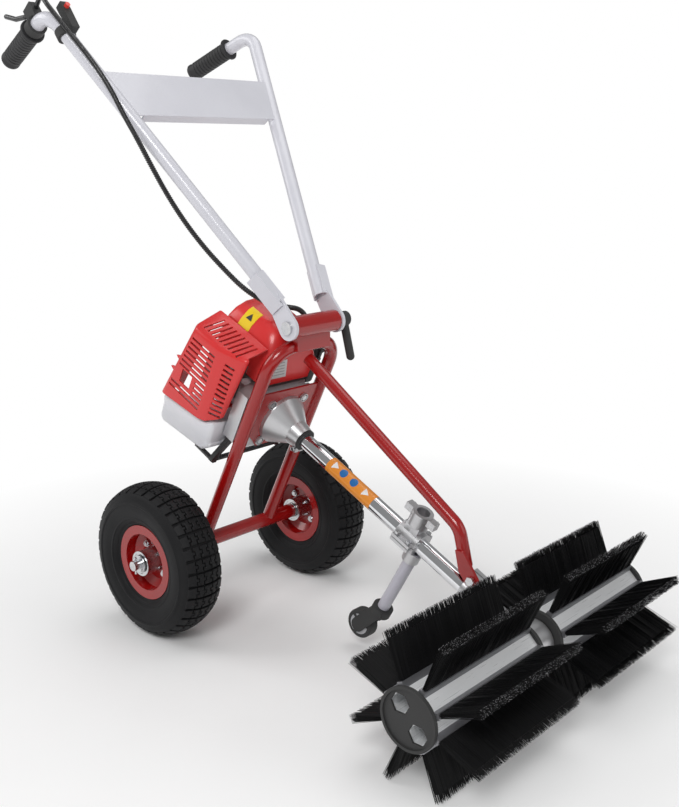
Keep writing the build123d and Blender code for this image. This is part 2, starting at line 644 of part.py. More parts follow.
# ---------------------------------------------------------------- drive line
def drive_shaft():
    """Steel shaft down the drive tube, with the pinion cut on its foot."""
    contact = BRUSH_ALONG_DRIVE - GEAR_MEAN_RADIUS
    shaft = rod(SHAFT_RADIUS, (-39, 0, 0), (contact + 3, 0, 0))
    root = PINION_PITCH_RADIUS - TOOTH_HALF_HEIGHT - 0.4
    shaft += rod(root, (contact - GEAR_FACE_HALF, 0, 0), (contact + GEAR_FACE_HALF, 0, 0))
    for index in range(PINION_TEETH):
        tooth = block(
            (contact - GEAR_FACE_HALF, contact + GEAR_FACE_HALF),
            (root - 0.5, PINION_PITCH_RADIUS + TOOTH_HALF_HEIGHT),
            (-TOOTH_WIDTH / 2, TOOTH_WIDTH / 2),
        )
        shaft += Rot(360 * index / PINION_TEETH, 0, 0) * tooth
    return on_drive(shaft)


def crown_gear():
    """Crown gear on the cross shaft, its face teeth in mesh with the pinion."""
    face_y = PINION_PITCH_RADIUS + TOOTH_HALF_HEIGHT + 0.4
    disc = rod(GEAR_MEAN_RADIUS + 5, (0, face_y, 0), (0, face_y + 4, 0))
    disc += rod(11, (0, face_y, 0), (0, 14.6, 0))
    for index in range(CROWN_TEETH):
        tooth = block(
            (GEAR_MEAN_RADIUS - GEAR_FACE_HALF, GEAR_MEAN_RADIUS + GEAR_FACE_HALF),
            (PINION_PITCH_RADIUS - TOOTH_HALF_HEIGHT, face_y + 0.5),
            (-TOOTH_WIDTH / 2, TOOTH_WIDTH / 2),
        )
        disc += Rot(0, 360 * (index + 0.5) / CROWN_TEETH, 0) * tooth
    disc -= rod(CROSS_SHAFT_RADIUS, (0, -1, 0), (0, 20, 0))
    return on_drive(Pos(BRUSH_ALONG_DRIVE, 0, 0) * disc)


def drive_tube():
    """Chromed tube between the clutch housing and the gear housing."""
    return on_drive(pipe(DRIVE_TUBE_RADIUS, DRIVE_TUBE_RADIUS - 1.5, (7, 0, 0), (446, 0, 0)))


def tube_clamp():
    """Two cast clamp halves: an upright socket on the upper, the leg's socket on the lower."""
    low, high = CLAMP_U - CLAMP_HALF, CLAMP_U + CLAMP_HALF
    collar = rod(20, (low, 0, 0), (high, 0, 0)) + block((low + 3, high - 3), (-30, 30), (-6, 6))
    collar -= rod(DRIVE_TUBE_RADIUS, (low - 1, 0, 0), (high + 1, 0, 0))
    for u in (CLAMP_U - 12, CLAMP_U + 12):
        for v in (-24.5, 24.5):
            collar -= rod(2.5, (u, v, -20), (u, v, 20))
    upper = collar & block((low - 1, high + 1), (-40, 40), (0.6, 40))
    lower = collar & block((low - 1, high + 1), (-40, 40), (-40, -0.6))
    riser = block((CLAMP_U - 13, CLAMP_U + 13), (-13, 13), (14, SOCKET_BASE_W + 2))
    riser -= rod(DRIVE_TUBE_RADIUS, (low, 0, 0), (high, 0, 0))
    socket = rod(SOCKET_OUTER, (CLAMP_U, 0, SOCKET_BASE_W), (CLAMP_U, 0, SOCKET_TOP_W))
    ears = block((CLAMP_U - 30, CLAMP_U + 30), (-6.5, 6.5), (SOCKET_TOP_W - 13, SOCKET_TOP_W - 1))
    bore = rod(SOCKET_RADIUS, (CLAMP_U, 0, SOCKET_BASE_W + 2), (CLAMP_U, 0, SOCKET_TOP_W + 1))
    upper = upper + riser + socket + ears - bore
    for u in (CLAMP_U - 24, CLAMP_U + 24):
        upper -= rod(2.5, (u, -10, SOCKET_TOP_W - 7), (u, 10, SOCKET_TOP_W - 7))
    top_u, top_w = LEG_TOP
    boss = rod(14, (top_u - 1.0, 0, top_w + 2), (top_u - 1.9, 0, top_w - 17))
    boss -= rod(DRIVE_TUBE_RADIUS + 5, (low, 0, 0), (top_u + 30, 0, 0))
    lower = lower + boss - leg_line(LEG_RADIUS)
    lower -= rod(DRIVE_TUBE_RADIUS, (low - 1, 0, 0), (high + 1, 0, 0))
    lower = max(lower.solids(), key=lambda solid: solid.volume)
    return on_drive(upper, lower)


def leg_line(radius):
    """Solid bar along the support leg."""
    return rod(radius, (LEG_TOP[0], 0, LEG_TOP[1]), (LEG_FOOT[0], 0, LEG_FOOT[1]))


def leg_direction():
    """Unit vector down the support leg, in the drive-line frame."""
    return (Vector(LEG_FOOT[0], 0, LEG_FOOT[1]) - Vector(LEG_TOP[0], 0, LEG_TOP[1])).normalized()


def support_leg():
    """Painted leg tube, with the plug at its foot that holds the caster's stem."""
    foot = Vector(LEG_FOOT[0], 0, LEG_FOOT[1])
    plug_top = foot - leg_direction() * 22
    leg = leg_line(LEG_RADIUS) - rod(LEG_RADIUS - 2, (LEG_TOP[0], 0, LEG_TOP[1]), tuple(plug_top))
    return on_drive(leg - rod(5 + RUNNING_CLEARANCE, tuple(foot - leg_direction() * 20), tuple(foot)))


def caster_plane():
    """Frame at the leg's foot: local Z down the leg, local X towards the trailing wheel."""
    trail = Vector(leg_direction().Z, 0, -leg_direction().X)
    return Plane(origin=(LEG_FOOT[0], 0, LEG_FOOT[1]), x_dir=trail, z_dir=leg_direction())


def caster_fork():
    """Moulded caster body: stem, collar ring and the two cheeks that hold the wheel."""
    stem = rod(5, (0, 0, -19), (0, 0, 1))
    ring = rod(17, (0, 0, 0.4), (0, 0, 14)) - rod(13.5, (0, 0, 9), (0, 0, 16))
    body = stem + ring
    for side in (-1, 1):
        y_inner, y_outer = side * (CASTER_HALF_WIDTH + 0.6), side * (CASTER_HALF_WIDTH + 4.6)
        cheek = rod(12, (CASTER_TRAIL, y_inner, CASTER_DROP), (CASTER_TRAIL, y_outer, CASTER_DROP))
        low, high = sorted((y_inner, y_outer))
        corners = [(-12, 4), (12, 4), (CASTER_TRAIL + 11, CASTER_DROP - 6), (CASTER_TRAIL - 11, CASTER_DROP + 4)]
        web = make_face(Polyline(*corners, close=True))
        plate = Plane(origin=(0, low, 0), x_dir=(1, 0, 0), z_dir=(0, -1, 0)) * web
        cheek += extrude(plate, high - low, dir=(0, 1, 0))
        body += cheek
    body += block((-12, 12), (-CASTER_HALF_WIDTH - 4, CASTER_HALF_WIDTH + 4), (9, 16))
    body += rod(4, (CASTER_TRAIL, -14.6, CASTER_DROP), (CASTER_TRAIL, 14.6, CASTER_DROP))
    return on_drive(caster_plane().location * body)


def caster_wheel():
    """Small solid wheel on the caster's axle."""
    centre = (CASTER_TRAIL, 0, CASTER_DROP)
    right = (CASTER_TRAIL, -CASTER_HALF_WIDTH, CASTER_DROP)
    left = (CASTER_TRAIL, CASTER_HALF_WIDTH, CASTER_DROP)
    wheel = rod(CASTER_RADIUS, right, left)
    wheel = fillet(wheel.edges().filter_by(GeomType.CIRCLE), 3)
    wheel -= rod(4 + RUNNING_CLEARANCE, (centre[0], -20, centre[2]), (centre[0], 20, centre[2]))
    return on_drive(caster_plane().location * wheel)


def gear_housing():
    """Cast gear housing with its split neck, and the screwed side cover."""
    u = BRUSH_ALONG_DRIVE
    body = rod(HOUSING_RADIUS, (u, -HOUSING_HALF + 3, 0), (u, HOUSING_HALF, 0))
    body += rod(17, (382, 0, 0), (u - 10, 0, 0))
    body += block((382, 404), (-9, 9), (12, STRUT_BOLT_W + 8))
    body -= rod(HOUSING_RADIUS - 4, (u, -HOUSING_HALF, 0), (u, HOUSING_HALF - 4, 0))
    body -= rod(DRIVE_TUBE_RADIUS, (380, 0, 0), (446, 0, 0))
    body -= rod(10, (445, 0, 0), (u - 12, 0, 0))
    body -= rod(11, (u, 0, 0), (u, 30, 0))
    body -= rod(4, (STRUT_BOLT_U, -20, STRUT_BOLT_W), (STRUT_BOLT_U, 20, STRUT_BOLT_W))
    body -= block((381, 405), (-1, 1), (10, STRUT_BOLT_W + 9))
    cover = rod(HOUSING_RADIUS, (u, -HOUSING_HALF, 0), (u, -HOUSING_HALF + 3, 0))
    cover += rod(14, (u, -HOUSING_HALF + 3, 0), (u, -HOUSING_HALF + 4, 0))
    cover -= rod(11, (u, -30, 0), (u, 0, 0))
    return on_drive(body, cover)


# ---------------------------------------------------------------- broom
def brush_point(y):
    """Point on the broom's axis."""
    return (BRUSH_X, y, BRUSH_HEIGHT)


def cross_shaft():
    """Cross shaft through both rollers, with the pins that drive them."""
    shaft = rod(CROSS_SHAFT_RADIUS, brush_point(-ROLLER_OUTER_Y), brush_point(ROLLER_OUTER_Y))
    pins = []
    for side in (-1, 1):
        y = side * (ROLLER_INNER_Y + 10)
        pin = rod(2, (BRUSH_X - 16, y, BRUSH_HEIGHT), (BRUSH_X + 16, y, BRUSH_HEIGHT))
        shaft -= pin
        pins.append(pin)
    return group(shaft, *pins)


def roller_cores():
    """Two hollow eight-sided extrusions on the cross shaft."""
    corner = CORE_HALF_FLATS / cos(radians(HALF_FIN_ANGLE))
    section = Rot(0, 0, HALF_FIN_ANGLE) * RegularPolygon(corner, BRUSH_COUNT)
    section -= Rot(0, 0, HALF_FIN_ANGLE) * RegularPolygon(corner - 3, BRUSH_COUNT)
    for index in range(4):
        section += Rot(0, 0, 90 * index) * (Pos(22, 0) * Rectangle(28, 3))
    section += Circle(10)
    section -= Circle(CROSS_SHAFT_RADIUS)
    length = ROLLER_OUTER_Y - ROLLER_INNER_Y
    pieces = []
    for side in (-1, 1):
        low = ROLLER_INNER_Y if side > 0 else -ROLLER_OUTER_Y
        plane = Plane(origin=brush_point(low), x_dir=(1, 0, 0), z_dir=(0, -1, 0))
        solid = extrude(plane * section, length, dir=(0, 1, 0))
        y = side * (ROLLER_INNER_Y + 10)
        solid -= rod(2, (BRUSH_X - 16, y, BRUSH_HEIGHT), (BRUSH_X + 16, y, BRUSH_HEIGHT))
        pieces.append(solid)
    return group(*pieces)


def bristle_strips():
    """Eight bristle strips round each roller, each thicker at its tips."""
    corner = CORE_HALF_FLATS / cos(radians(HALF_FIN_ANGLE))
    reach = (BRUSH_RADIUS**2 - (BRUSH_TIP / 2) ** 2) ** 0.5
    outline = Polyline(
        (corner + 0.6, -BRUSH_ROOT / 2),
        (reach, -BRUSH_TIP / 2),
        (reach, BRUSH_TIP / 2),
        (corner + 0.6, BRUSH_ROOT / 2),
        close=True,
    )
    section = make_face(outline)
    pieces = []
    for side in (-1, 1):
        low = ROLLER_INNER_Y + 2 if side > 0 else -ROLLER_OUTER_Y + 2
        plane = Plane(origin=brush_point(low), x_dir=(1, 0, 0), z_dir=(0, -1, 0))
        for index in range(BRUSH_COUNT):
            angle = HALF_FIN_ANGLE + 360 * index / BRUSH_COUNT
            turned = plane * (Rot(0, 0, angle) * section)
            pieces.append(extrude(turned, ROLLER_OUTER_Y - ROLLER_INNER_Y - 4, dir=(0, 1, 0)))
    return group(*pieces)


def end_caps():
    """Black end discs: an open outer pair with raised rims and a plain inner pair."""
    pieces = []
    for side in (-1, 1):
        start, end = side * ROLLER_OUTER_Y, side * (ROLLER_OUTER_Y + 6)
        cap = rod(CAP_RADIUS, brush_point(start), brush_point(end))
        dish = (brush_point(side * (ROLLER_OUTER_Y + 3)), brush_point(side * (ROLLER_OUTER_Y + 7)))
        cap -= rod(CAP_RADIUS - 4, *dish)
        for turn in (40, 220):
            x = BRUSH_X + 22 * cos(radians(turn + 90))
            z = BRUSH_HEIGHT + 22 * sin(radians(turn + 90))
            plane = Plane(origin=(x, side * (ROLLER_OUTER_Y - 1), z), x_dir=(1, 0, 0), z_dir=(0, side, 0))
            cap -= plane.location * extrude(RegularPolygon(15, 6), 12)
        pieces.append(cap)
        near, far = brush_point(side * (HOUSING_HALF + 2.5)), brush_point(side * ROLLER_INNER_Y)
        inner = pipe(CAP_RADIUS - 1, CROSS_SHAFT_RADIUS, near, far)
        pieces.append(inner)
    return group(*pieces)


# ---------------------------------------------------------------- wheels
def spun(profile, side):
    """Revolve a (radius, y) profile round a wheel's axle line."""
    face = Plane(origin=axle_point(side * TRACK_HALF), x_dir=(1, 0, 0), z_dir=(0, 0, side)) * profile
    return revolve(face, axis=Axis(axle_point(0), (0, 1, 0)))


def tyre(side):
    """Pneumatic tyre: a hollow carcass open towards its rim."""
    with BuildSketch() as carcass:
        with BuildLine():
            Line((51.5, 26), (63.5, 26.5))
            ThreePointArc((63.5, 26.5), (92, TYRE_HALF_WIDTH), (122, 33))
            ThreePointArc((122, 33), (TYRE_RADIUS, 0), (122, -33))
            ThreePointArc((122, -33), (92, -TYRE_HALF_WIDTH), (63.5, -26.5))
            Line((63.5, -26.5), (51.5, -26))
            Line((51.5, -26), (51.5, -19))
            Line((51.5, -19), (64, -20))
            ThreePointArc((64, -20), (92, -34), (114, -28))
            ThreePointArc((114, -28), (122, 0), (114, 28))
            ThreePointArc((114, 28), (92, 34), (64, 20))
            Line((64, 20), (51.5, 19))
            Line((51.5, 19), (51.5, 26))
        make_face()
    return spun(carcass.sketch, side)


def rim(side):
    """Two pressed rim halves, back to back."""
    half = [(21, 0), (37, 0), (51, 9), (51, 26.5), (63.5, 27), (63.5, 29.5), (48.5, 29.2), (48.5, 10.6), (36, 2.5),
            (21, 2.5)]
    halves = []
    for mirror_y in (-1, 1):
        shell = spun(make_face(Polyline(*[(r, mirror_y * y) for r, y in half], close=True)), side)
        for index in range(4):
            shell -= rim_bolt_bar(side, index, 4, 10)
        halves.append(shell)
    return group(*halves)


def rim_bolt_bar(side, index, radius, reach):
    """Bar through the rim's web on the bolt circle."""
    angle = radians(45 + 90 * index)
    x, z = AXLE_X + 30 * cos(angle), AXLE_Z + 30 * sin(angle)
    y = side * TRACK_HALF
    return rod(radius, (x, y - reach, z), (x, y + reach, z))


def rim_bolts(side):
    """Four bolts and nuts through the rim halves."""
    pieces = []
    for index in range(4):
        bar = rim_bolt_bar(side, index, 4, 10)
        flange = rim_bolt_bar(side, index, 6, 7) - rim_bolt_bar(side, index, 7.5, 2.5)
        pieces.append(bar + flange)
    return group(*pieces)


def hub(side):
    """Hub tube with its two ball bearings."""
    outline = [(16, -24), (17.5, -24), (17.5, -37), (21, -37), (21, 37), (17.5, 37), (17.5, 24), (16, 24)]
    barrel = make_face(Polyline(*outline, close=True))
    pieces = [spun(barrel, side)]
    bore = AXLE_RADIUS + RUNNING_CLEARANCE
    for end in (-1, 1):
        bearing = [(bore, end * 24.2), (17.5, end * 24.2), (17.5, end * 36), (bore, end * 36)]
        ring = make_face(Polyline(*bearing, close=True))
        pieces.append(spun(ring, side))
    return group(*pieces)


# ---------------------------------------------------------------- handle
def arm(side):
    """Bent handle tube with the folded bracket that carries it on the pivot."""
    foot, bend_y = 46, side * arm_y(ARM_BEND_S)
    points = [(0, side * arm_y(foot), foot), (0, bend_y, ARM_BEND_S), tuple(on_grip(side, GRIP_END - 4))]
    tube = bent_pipe(points, 42, ARM_TUBE_RADIUS, ARM_TUBE_RADIUS - 2)
    low, high = sorted((side * 51.5, side * 56.5))
    taper = [(-20, 0), (20, 0), (14, 60), (-14, 60)]
    lug = rod(20, (0, low, 0), (0, high, 0))
    lug += extrude(Plane.XZ.offset(-high) * make_face(Polyline(*taper, close=True)), high - low)
    radius = ARM_TUBE_RADIUS
    web = block((-14, 14), (radius, radius + 2.5), (-30, 34))
    web += block((-14, -radius), (-4, radius + 2.5), (-22, 34))
    web += block((radius, 14), (-4, radius + 2.5), (-22, 34))
    seat = Plane(origin=(0, side * arm_y(66), 66), x_dir=(1, 0, 0), z_dir=(0, side * ARM_SPLAY, 1))
    turn = Rot(0, 0, 0) if side > 0 else Rot(0, 0, 180)
    channel = seat.location * (turn * web)
    bracket = lug + channel
    bracket -= rod(CROSS_SHAFT_RADIUS, (0, -80, 0), (0, 80, 0))
    bracket = max(bracket.solids(), key=lambda solid: solid.volume)
    tube -= bracket
    tube = max(tube.solids(), key=lambda solid: solid.volume)
    return on_handle(tube, bracket)


def cross_plate():
    """Sheet welded between the arms, with a folded lip along its lower edge."""
    low, high, front, thickness = 396.6, 479.0, 6.0, 2.5
    half_low, half_high = arm_y(low) - 4, arm_y(high) - 4
    corners = [(-half_low, low), (half_low, low), (half_high, high), (-half_high, high)]
    face = make_face(Polyline(*corners, close=True))
    sheet = extrude(Plane(origin=(front, 0, 0), x_dir=(0, 1, 0), z_dir=(1, 0, 0)) * face, thickness)
    sheet += block((front - 14, front), (-half_low + 16, half_low - 16), (low, low + thickness))
    sheet += block((front - 8, front), (-half_high + 16, half_high - 16), (high - thickness, high))
    for side in (-1, 1):
        sheet -= rod(ARM_TUBE_RADIUS, (0, side * arm_y(300), 300), (0, side * arm_y(560), 560))
    sheet = max(sheet.solids(), key=lambda solid: solid.volume)
    return on_handle(sheet)


def pivot_bolt():
    """Pivot bolt with its flat round head on the right and its washer on the left."""
    bolt = rod(CROSS_SHAFT_RADIUS, (0, -57, 0), (0, 76, 0)) + rod(10.5, (0, -60.5, 0), (0, -56.5, 0))
    washer = pipe(12, CROSS_SHAFT_RADIUS, (0, 56.5, 0), (0, 58.5, 0))
    return on_handle(bolt, washer)


def clamp_lever():
    """Black locking lever on the left end of the pivot bolt, hanging straight down."""
    bore = CROSS_SHAFT_RADIUS + RUNNING_CLEARANCE
    x, z = PIVOT_X, PIVOT_HEIGHT
    hub_part = rod(12.5, (x, 59, z), (x, 79, z)) + Pos(x, 79, z) * Sphere(9)
    tip = (x - 2, 93, z - 66)
    lever = rod(7, (x, 75, z - 6), tip) + Pos(*tip) * Sphere(7)
    return hub_part + lever - rod(bore, (x, 50, z), (x, 76.5, z))


def hand_grips():
    """Two rubber grips with flanges."""
    pieces = []
    for side in (-1, 1):
        grip = rod(GRIP_RADIUS, tuple(on_grip(side, GRIP_START)), tuple(on_grip(side, GRIP_END)))
        grip += rod(GRIP_RADIUS + 4, tuple(on_grip(side, GRIP_START)), tuple(on_grip(side, GRIP_START + 4)))
        grip -= rod(ARM_TUBE_RADIUS, tuple(on_grip(side, GRIP_START - 2)), tuple(on_grip(side, GRIP_END - 4)))
        pieces.append(grip)
    return on_handle(*pieces)


def throttle_bracket():
    """Clamp round the right arm that carries the throttle lever and the cable's end."""
    low, high = tuple(on_grip(-1, 41)), tuple(on_grip(-1, 58))
    ring = rod(16, low, high)
    p, s = LEVER_PIVOT
    boss = block((p - 9, p + 14), (LEVER_Y - 8, LEVER_Y + 8), (608, s + 9))
    slot = block((p - 12, p + 9.5), (LEVER_Y - 4.5, LEVER_Y + 4.5), (s - 13, s + 12))
    bracket = ring + boss - slot - rod(ARM_TUBE_RADIUS, tuple(on_grip(-1, 30)), tuple(on_grip(-1, 66)))
    bracket += rod(3, (p, LEVER_Y - 8, s), (p, LEVER_Y + 8, s))
    bracket = max(bracket.solids(), key=lambda solid: solid.volume)
    return on_handle(bracket)


def throttle_lever():
    """Curved lever over the right grip."""
    p, s = LEVER_PIVOT
    centre_line = [(p, s), (p - 20, s + 8), (p - 42, s + 23), (p - 61, s + 45)]
    blade = rod(6, (p, LEVER_Y - 4, s), (p, LEVER_Y + 4, s))
    for start, end in zip(centre_line, centre_line[1:]):
        blade += rod(4, (start[0], LEVER_Y, start[1]), (end[0], LEVER_Y, end[1]))
        blade += Pos(end[0], LEVER_Y, end[1]) * Sphere(4)
    return on_handle(blade - rod(3 + RUNNING_CLEARANCE, (p, LEVER_Y - 20, s), (p, LEVER_Y + 20, s)))


def stop_switch():
    """Switch housing clamped near the right arm's bend."""
    s, inner = SWITCH_S, SWITCH_Y
    y = -arm_y(s)
    ring = rod(15, (0, y, s - 7), (0, y, s + 7)) + block((10, 25), (inner - 7, inner + 7), (s - 7, s + 42))
    ring -= rod(ARM_TUBE_RADIUS, (0, -arm_y(s - 40), s - 40), (0, -arm_y(s + 60), s + 60))
    ring -= rod(4.3, (20, inner, s + 32), (27, inner, s + 32))
    return on_handle(max(ring.solids(), key=lambda solid: solid.volume))


def switch_button():
    """Push button of the stop switch."""
    return on_handle(rod(4, (23, SWITCH_Y, SWITCH_S + 32), (31, SWITCH_Y, SWITCH_S + 32)))


# The throttle cable's route, from the lever's bracket along the right arm to the carburettor.


def cable_radii():
    """Bend radius at each inner point of the cable's route."""
    radii = []
    points = [Vector(*point) for point in CABLE_ROUTE]
    for before, here, after in zip(points, points[1:], points[2:]):
        arriving, leaving = here - before, after - here
        turn = arriving.get_angle(leaving)
        run = min(arriving.length, leaving.length)
        radii.append(0.45 * run / tan(radians(turn / 2)))
    return radii


def throttle_cable():
    """Sleeved throttle cable along the right arm to the carburettor."""
    path = FilletPolyline(*CABLE_ROUTE, radius=cable_radii())
    start = Plane(origin=path @ 0, z_dir=path % 0)
    return sweep(start * Circle(CABLE_RADIUS), path=path)


# ---------------------------------------------------------------- all sub-parts
PARTS = {
    "frame_hoop": frame_hoop,
    "engine_plate": engine_plate,
    "pivot_tube": pivot_tube,
    "bushes": bushes,
    "front_strut": front_strut,
    "wheel_axle": wheel_axle,
    "wheel_retainers": wheel_retainers,
    "steel_bolts": steel_bolts,
    "clutch_housing": clutch_housing,
    "fan_case": fan_case,
    "crankcase": crankcase,
    "cylinder": cylinder,
    "spark_plug": spark_plug,
    "engine_cover": engine_cover,
    "muffler": muffler,
    "muffler_guard": muffler_guard,
    "fuel_tank": fuel_tank,
    "tank_guard": tank_guard,
    "recoil_starter": recoil_starter,
    "starter_grip": starter_grip,
    "starter_rope": starter_rope,
    "air_filter_cover": air_filter_cover,
    "carburettor": carburettor,
    "primer_bulb": primer_bulb,
    "choke_lever": choke_lever,
    "fuel_cap": fuel_cap,
    "crankshaft": crankshaft,
    "flywheel": flywheel,
    "clutch_drum": clutch_drum,
    "drive_shaft": drive_shaft,
    "crown_gear": crown_gear,
    "drive_tube": drive_tube,
    "tube_clamp": tube_clamp,
    "support_leg": support_leg,
    "caster_fork": caster_fork,
    "caster_wheel": caster_wheel,
    "gear_housing": gear_housing,
    "cross_shaft": cross_shaft,
    "roller_cores": roller_cores,
    "bristle_strips": bristle_strips,
    "end_caps": end_caps,
    "right_tyre": lambda: tyre(-1),
    "right_rim": lambda: rim(-1),
    "right_rim_bolts": lambda: rim_bolts(-1),
    "right_hub": lambda: hub(-1),
    "left_tyre": lambda: tyre(1),
    "left_rim": lambda: rim(1),
    "left_rim_bolts": lambda: rim_bolts(1),
    "left_hub": lambda: hub(1),
    "right_arm": lambda: arm(-1),
    "left_arm": lambda: arm(1),
    "cross_plate": cross_plate,
    "pivot_bolt": pivot_bolt,
    "clamp_lever": clamp_lever,
    "hand_grips": hand_grips,
    "throttle_bracket": throttle_bracket,
    "throttle_lever": throttle_lever,
    "stop_switch": stop_switch,
    "switch_button": switch_button,
    "throttle_cable": throttle_cable,
}


def main():
    """Write every sub-part to its own STEP file."""
    os.makedirs("parts", exist_ok=True)
    for name, build in PARTS.items():
        export_step(build(), f"parts/{name}.step")


if __name__ == "__main__":
    main()
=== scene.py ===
"""Looks of the walk-behind power broom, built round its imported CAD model."""

import logging
import math
import random
from dataclasses import dataclass, field
from enum import Enum
from typing import Callable, Iterable, Sequence

import bpy
import numpy as np
from mathutils import Matrix, Vector


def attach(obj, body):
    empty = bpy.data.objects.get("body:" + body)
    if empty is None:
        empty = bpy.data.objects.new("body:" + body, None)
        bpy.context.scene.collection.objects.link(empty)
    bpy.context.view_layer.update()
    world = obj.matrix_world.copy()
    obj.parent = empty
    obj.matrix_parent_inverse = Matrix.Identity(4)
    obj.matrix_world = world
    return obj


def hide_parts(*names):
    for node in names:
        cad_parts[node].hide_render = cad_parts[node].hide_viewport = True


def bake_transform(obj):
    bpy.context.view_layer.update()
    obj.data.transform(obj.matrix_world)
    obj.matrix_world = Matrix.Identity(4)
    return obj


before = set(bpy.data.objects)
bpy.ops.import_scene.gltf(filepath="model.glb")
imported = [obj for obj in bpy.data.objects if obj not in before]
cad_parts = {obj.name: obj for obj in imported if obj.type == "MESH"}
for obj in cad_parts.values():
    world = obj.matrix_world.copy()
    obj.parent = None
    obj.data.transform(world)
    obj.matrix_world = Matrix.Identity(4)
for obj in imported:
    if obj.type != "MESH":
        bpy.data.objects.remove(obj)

LOG = logging.getLogger("power_broom")
MM = 0.001
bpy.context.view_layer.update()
Colour = tuple[float, float, float]
Point = tuple[float, float, float]


class Body(Enum):
    """CAD bodies that the pieces ride on."""

    FRAME = "frame"
    HANDLE = "handle"
    BROOM = "broom"
    RIGHT_WHEEL = "right_wheel"
    LEFT_WHEEL = "left_wheel"
    CASTER_ROLL = "caster_roll"


# ------------------------------------------------------------------ local frames
@dataclass(frozen=True)
class LocalFrame:
    """A turned frame whose coordinates are in millimetres."""

    origin: Vector
    first: Vector
    second: Vector
    third: Vector

    def at(self, a: float, b: float, c: float) -> Vector:
        """Return the place of a local point, in metres."""
        return self.origin + (self.first * a + self.second * b + self.third * c) * MM

    def matrix(self, a: float = 0.0, b: float = 0.0, c: float = 0.0) -> Matrix:
        """Return the matrix that carries metres along the local axes to a local point."""
        turned = Matrix((self.first, self.second, self.third)).transposed().to_4x4()
        turned.translation = self.at(a, b, c)
        return turned


def tilted(origin: Point, pitch: float) -> LocalFrame:
    """Frame whose first axis points forward and down by a pitch in degrees."""
    cosine, sine = math.cos(math.radians(pitch)), math.sin(math.radians(pitch))
    ahead = Vector((cosine, 0.0, -sine))
    above = Vector((sine, 0.0, cosine))
    return LocalFrame(Vector(origin) * MM, ahead, Vector((0.0, 1.0, 0.0)), above)


DRIVE = tilted((-40.158, 0.0, 336.414), 27.0)
HANDLE = tilted((-4.758, 0.0, 525.0), -36.3)
AXLE = Vector((-200.758, 0.0, 130.0)) * MM
BROOM_AXIS = Vector((410.69, 0.0, 106.69)) * MM


# ------------------------------------------------------------------ modelling by hand
def deselect_all() -> None:
    """Leave edit mode and clear the selection."""
    if bpy.context.object is not None and bpy.context.object.mode != "OBJECT":
        bpy.ops.object.mode_set(mode="OBJECT")
    bpy.ops.object.select_all(action="DESELECT")


def pick(piece: bpy.types.Object) -> None:
    """Make one piece the only selected and active one."""
    deselect_all()
    piece.select_set(True)
    bpy.context.view_layer.objects.active = piece


def edit(piece: bpy.types.Object) -> None:
    """Open a piece in edit mode with everything selected."""
    pick(piece)
    bpy.ops.object.mode_set(mode="EDIT")
    bpy.ops.mesh.select_mode(type="VERT")
    bpy.ops.mesh.select_all(action="SELECT")


def settle(piece: bpy.types.Object, smooth: float = 35.0) -> bpy.types.Object:
    """Put a piece's place into its mesh and smooth its shallow angles.

    Args:
        piece: the finished piece.
        smooth: largest angle in degrees that is shaded smooth.

    Returns:
        The same piece.
    """
    pick(piece)
    bpy.ops.object.transform_apply(location=True, rotation=True, scale=True)
    bpy.ops.object.shade_smooth_by_angle(angle=math.radians(smooth))
    return piece


def wire(name: str, points: Sequence[Vector], closed: bool = False) -> bpy.types.Object:
    """Draw a chain of edges by extruding one vertex from point to point.

    Args:
        name: name of the new piece.
        points: the chain's points, in metres.
        closed: whether the last point joins the first, with a face inside.

    Returns:
        The new piece.
    """
    deselect_all()
    bpy.ops.mesh.primitive_plane_add(size=0.001, location=points[0])
    piece = bpy.context.object
    piece.name = name
    bpy.ops.object.mode_set(mode="EDIT")
    bpy.ops.mesh.select_mode(type="VERT")
    bpy.ops.mesh.select_all(action="SELECT")
    bpy.ops.mesh.merge(type="CENTER")
    for here, there in zip(points, points[1:]):
        bpy.ops.mesh.extrude_region_move(TRANSFORM_OT_translate={"value": there - here})
    if closed:
        bpy.ops.mesh.select_all(action="SELECT")
        bpy.ops.mesh.edge_face_add()
    bpy.ops.object.mode_set(mode="OBJECT")
    return piece


def lathe(
    name: str, profile: Sequence[tuple[float, float]], centre: Vector, axis: Vector, steps: int = 48
) -> bpy.types.Object:
    """Spin a profile round an axis.

    Args:
        name: name of the new piece.
        profile: (radius, distance along the axis) points in millimetres.
        centre: a point on the axis.
        axis: direction of the axis.
        steps: number of steps in the full turn.

    Returns:
        The new piece, with its faces outwards.
    """
    side = axis.orthogonal().normalized()
    points = [centre + (side * radius + axis * along) * MM for radius, along in profile]
    piece = wire(name, points)
    edit(piece)
    bpy.ops.mesh.spin(steps=steps, angle=2 * math.pi, center=centre, axis=axis)
    bpy.ops.mesh.select_all(action="SELECT")
    bpy.ops.mesh.remove_doubles(threshold=1e-5)
    bpy.ops.mesh.normals_make_consistent(inside=False)
    bpy.ops.object.mode_set(mode="OBJECT")
    return piece


def prism(name: str, outline: Sequence[Vector], depth: Vector, bevel: float = 0.0) -> bpy.types.Object:
    """Extrude a flat outline, and round its edges.

    Args:
        name: name of the new piece.
        outline: corner points in order, in metres.
        depth: how far and which way it is extruded, in metres.
        bevel: width of the rounded edges in millimetres.

    Returns:
        The new piece.
    """
    piece = wire(name, outline, closed=True)
    edit(piece)
    bpy.ops.mesh.extrude_region_move(TRANSFORM_OT_translate={"value": depth})
    bpy.ops.mesh.select_all(action="SELECT")
    bpy.ops.mesh.normals_make_consistent(inside=False)
    bpy.ops.object.mode_set(mode="OBJECT")
    if bevel > 0:
        soften(piece, bevel)
    return piece


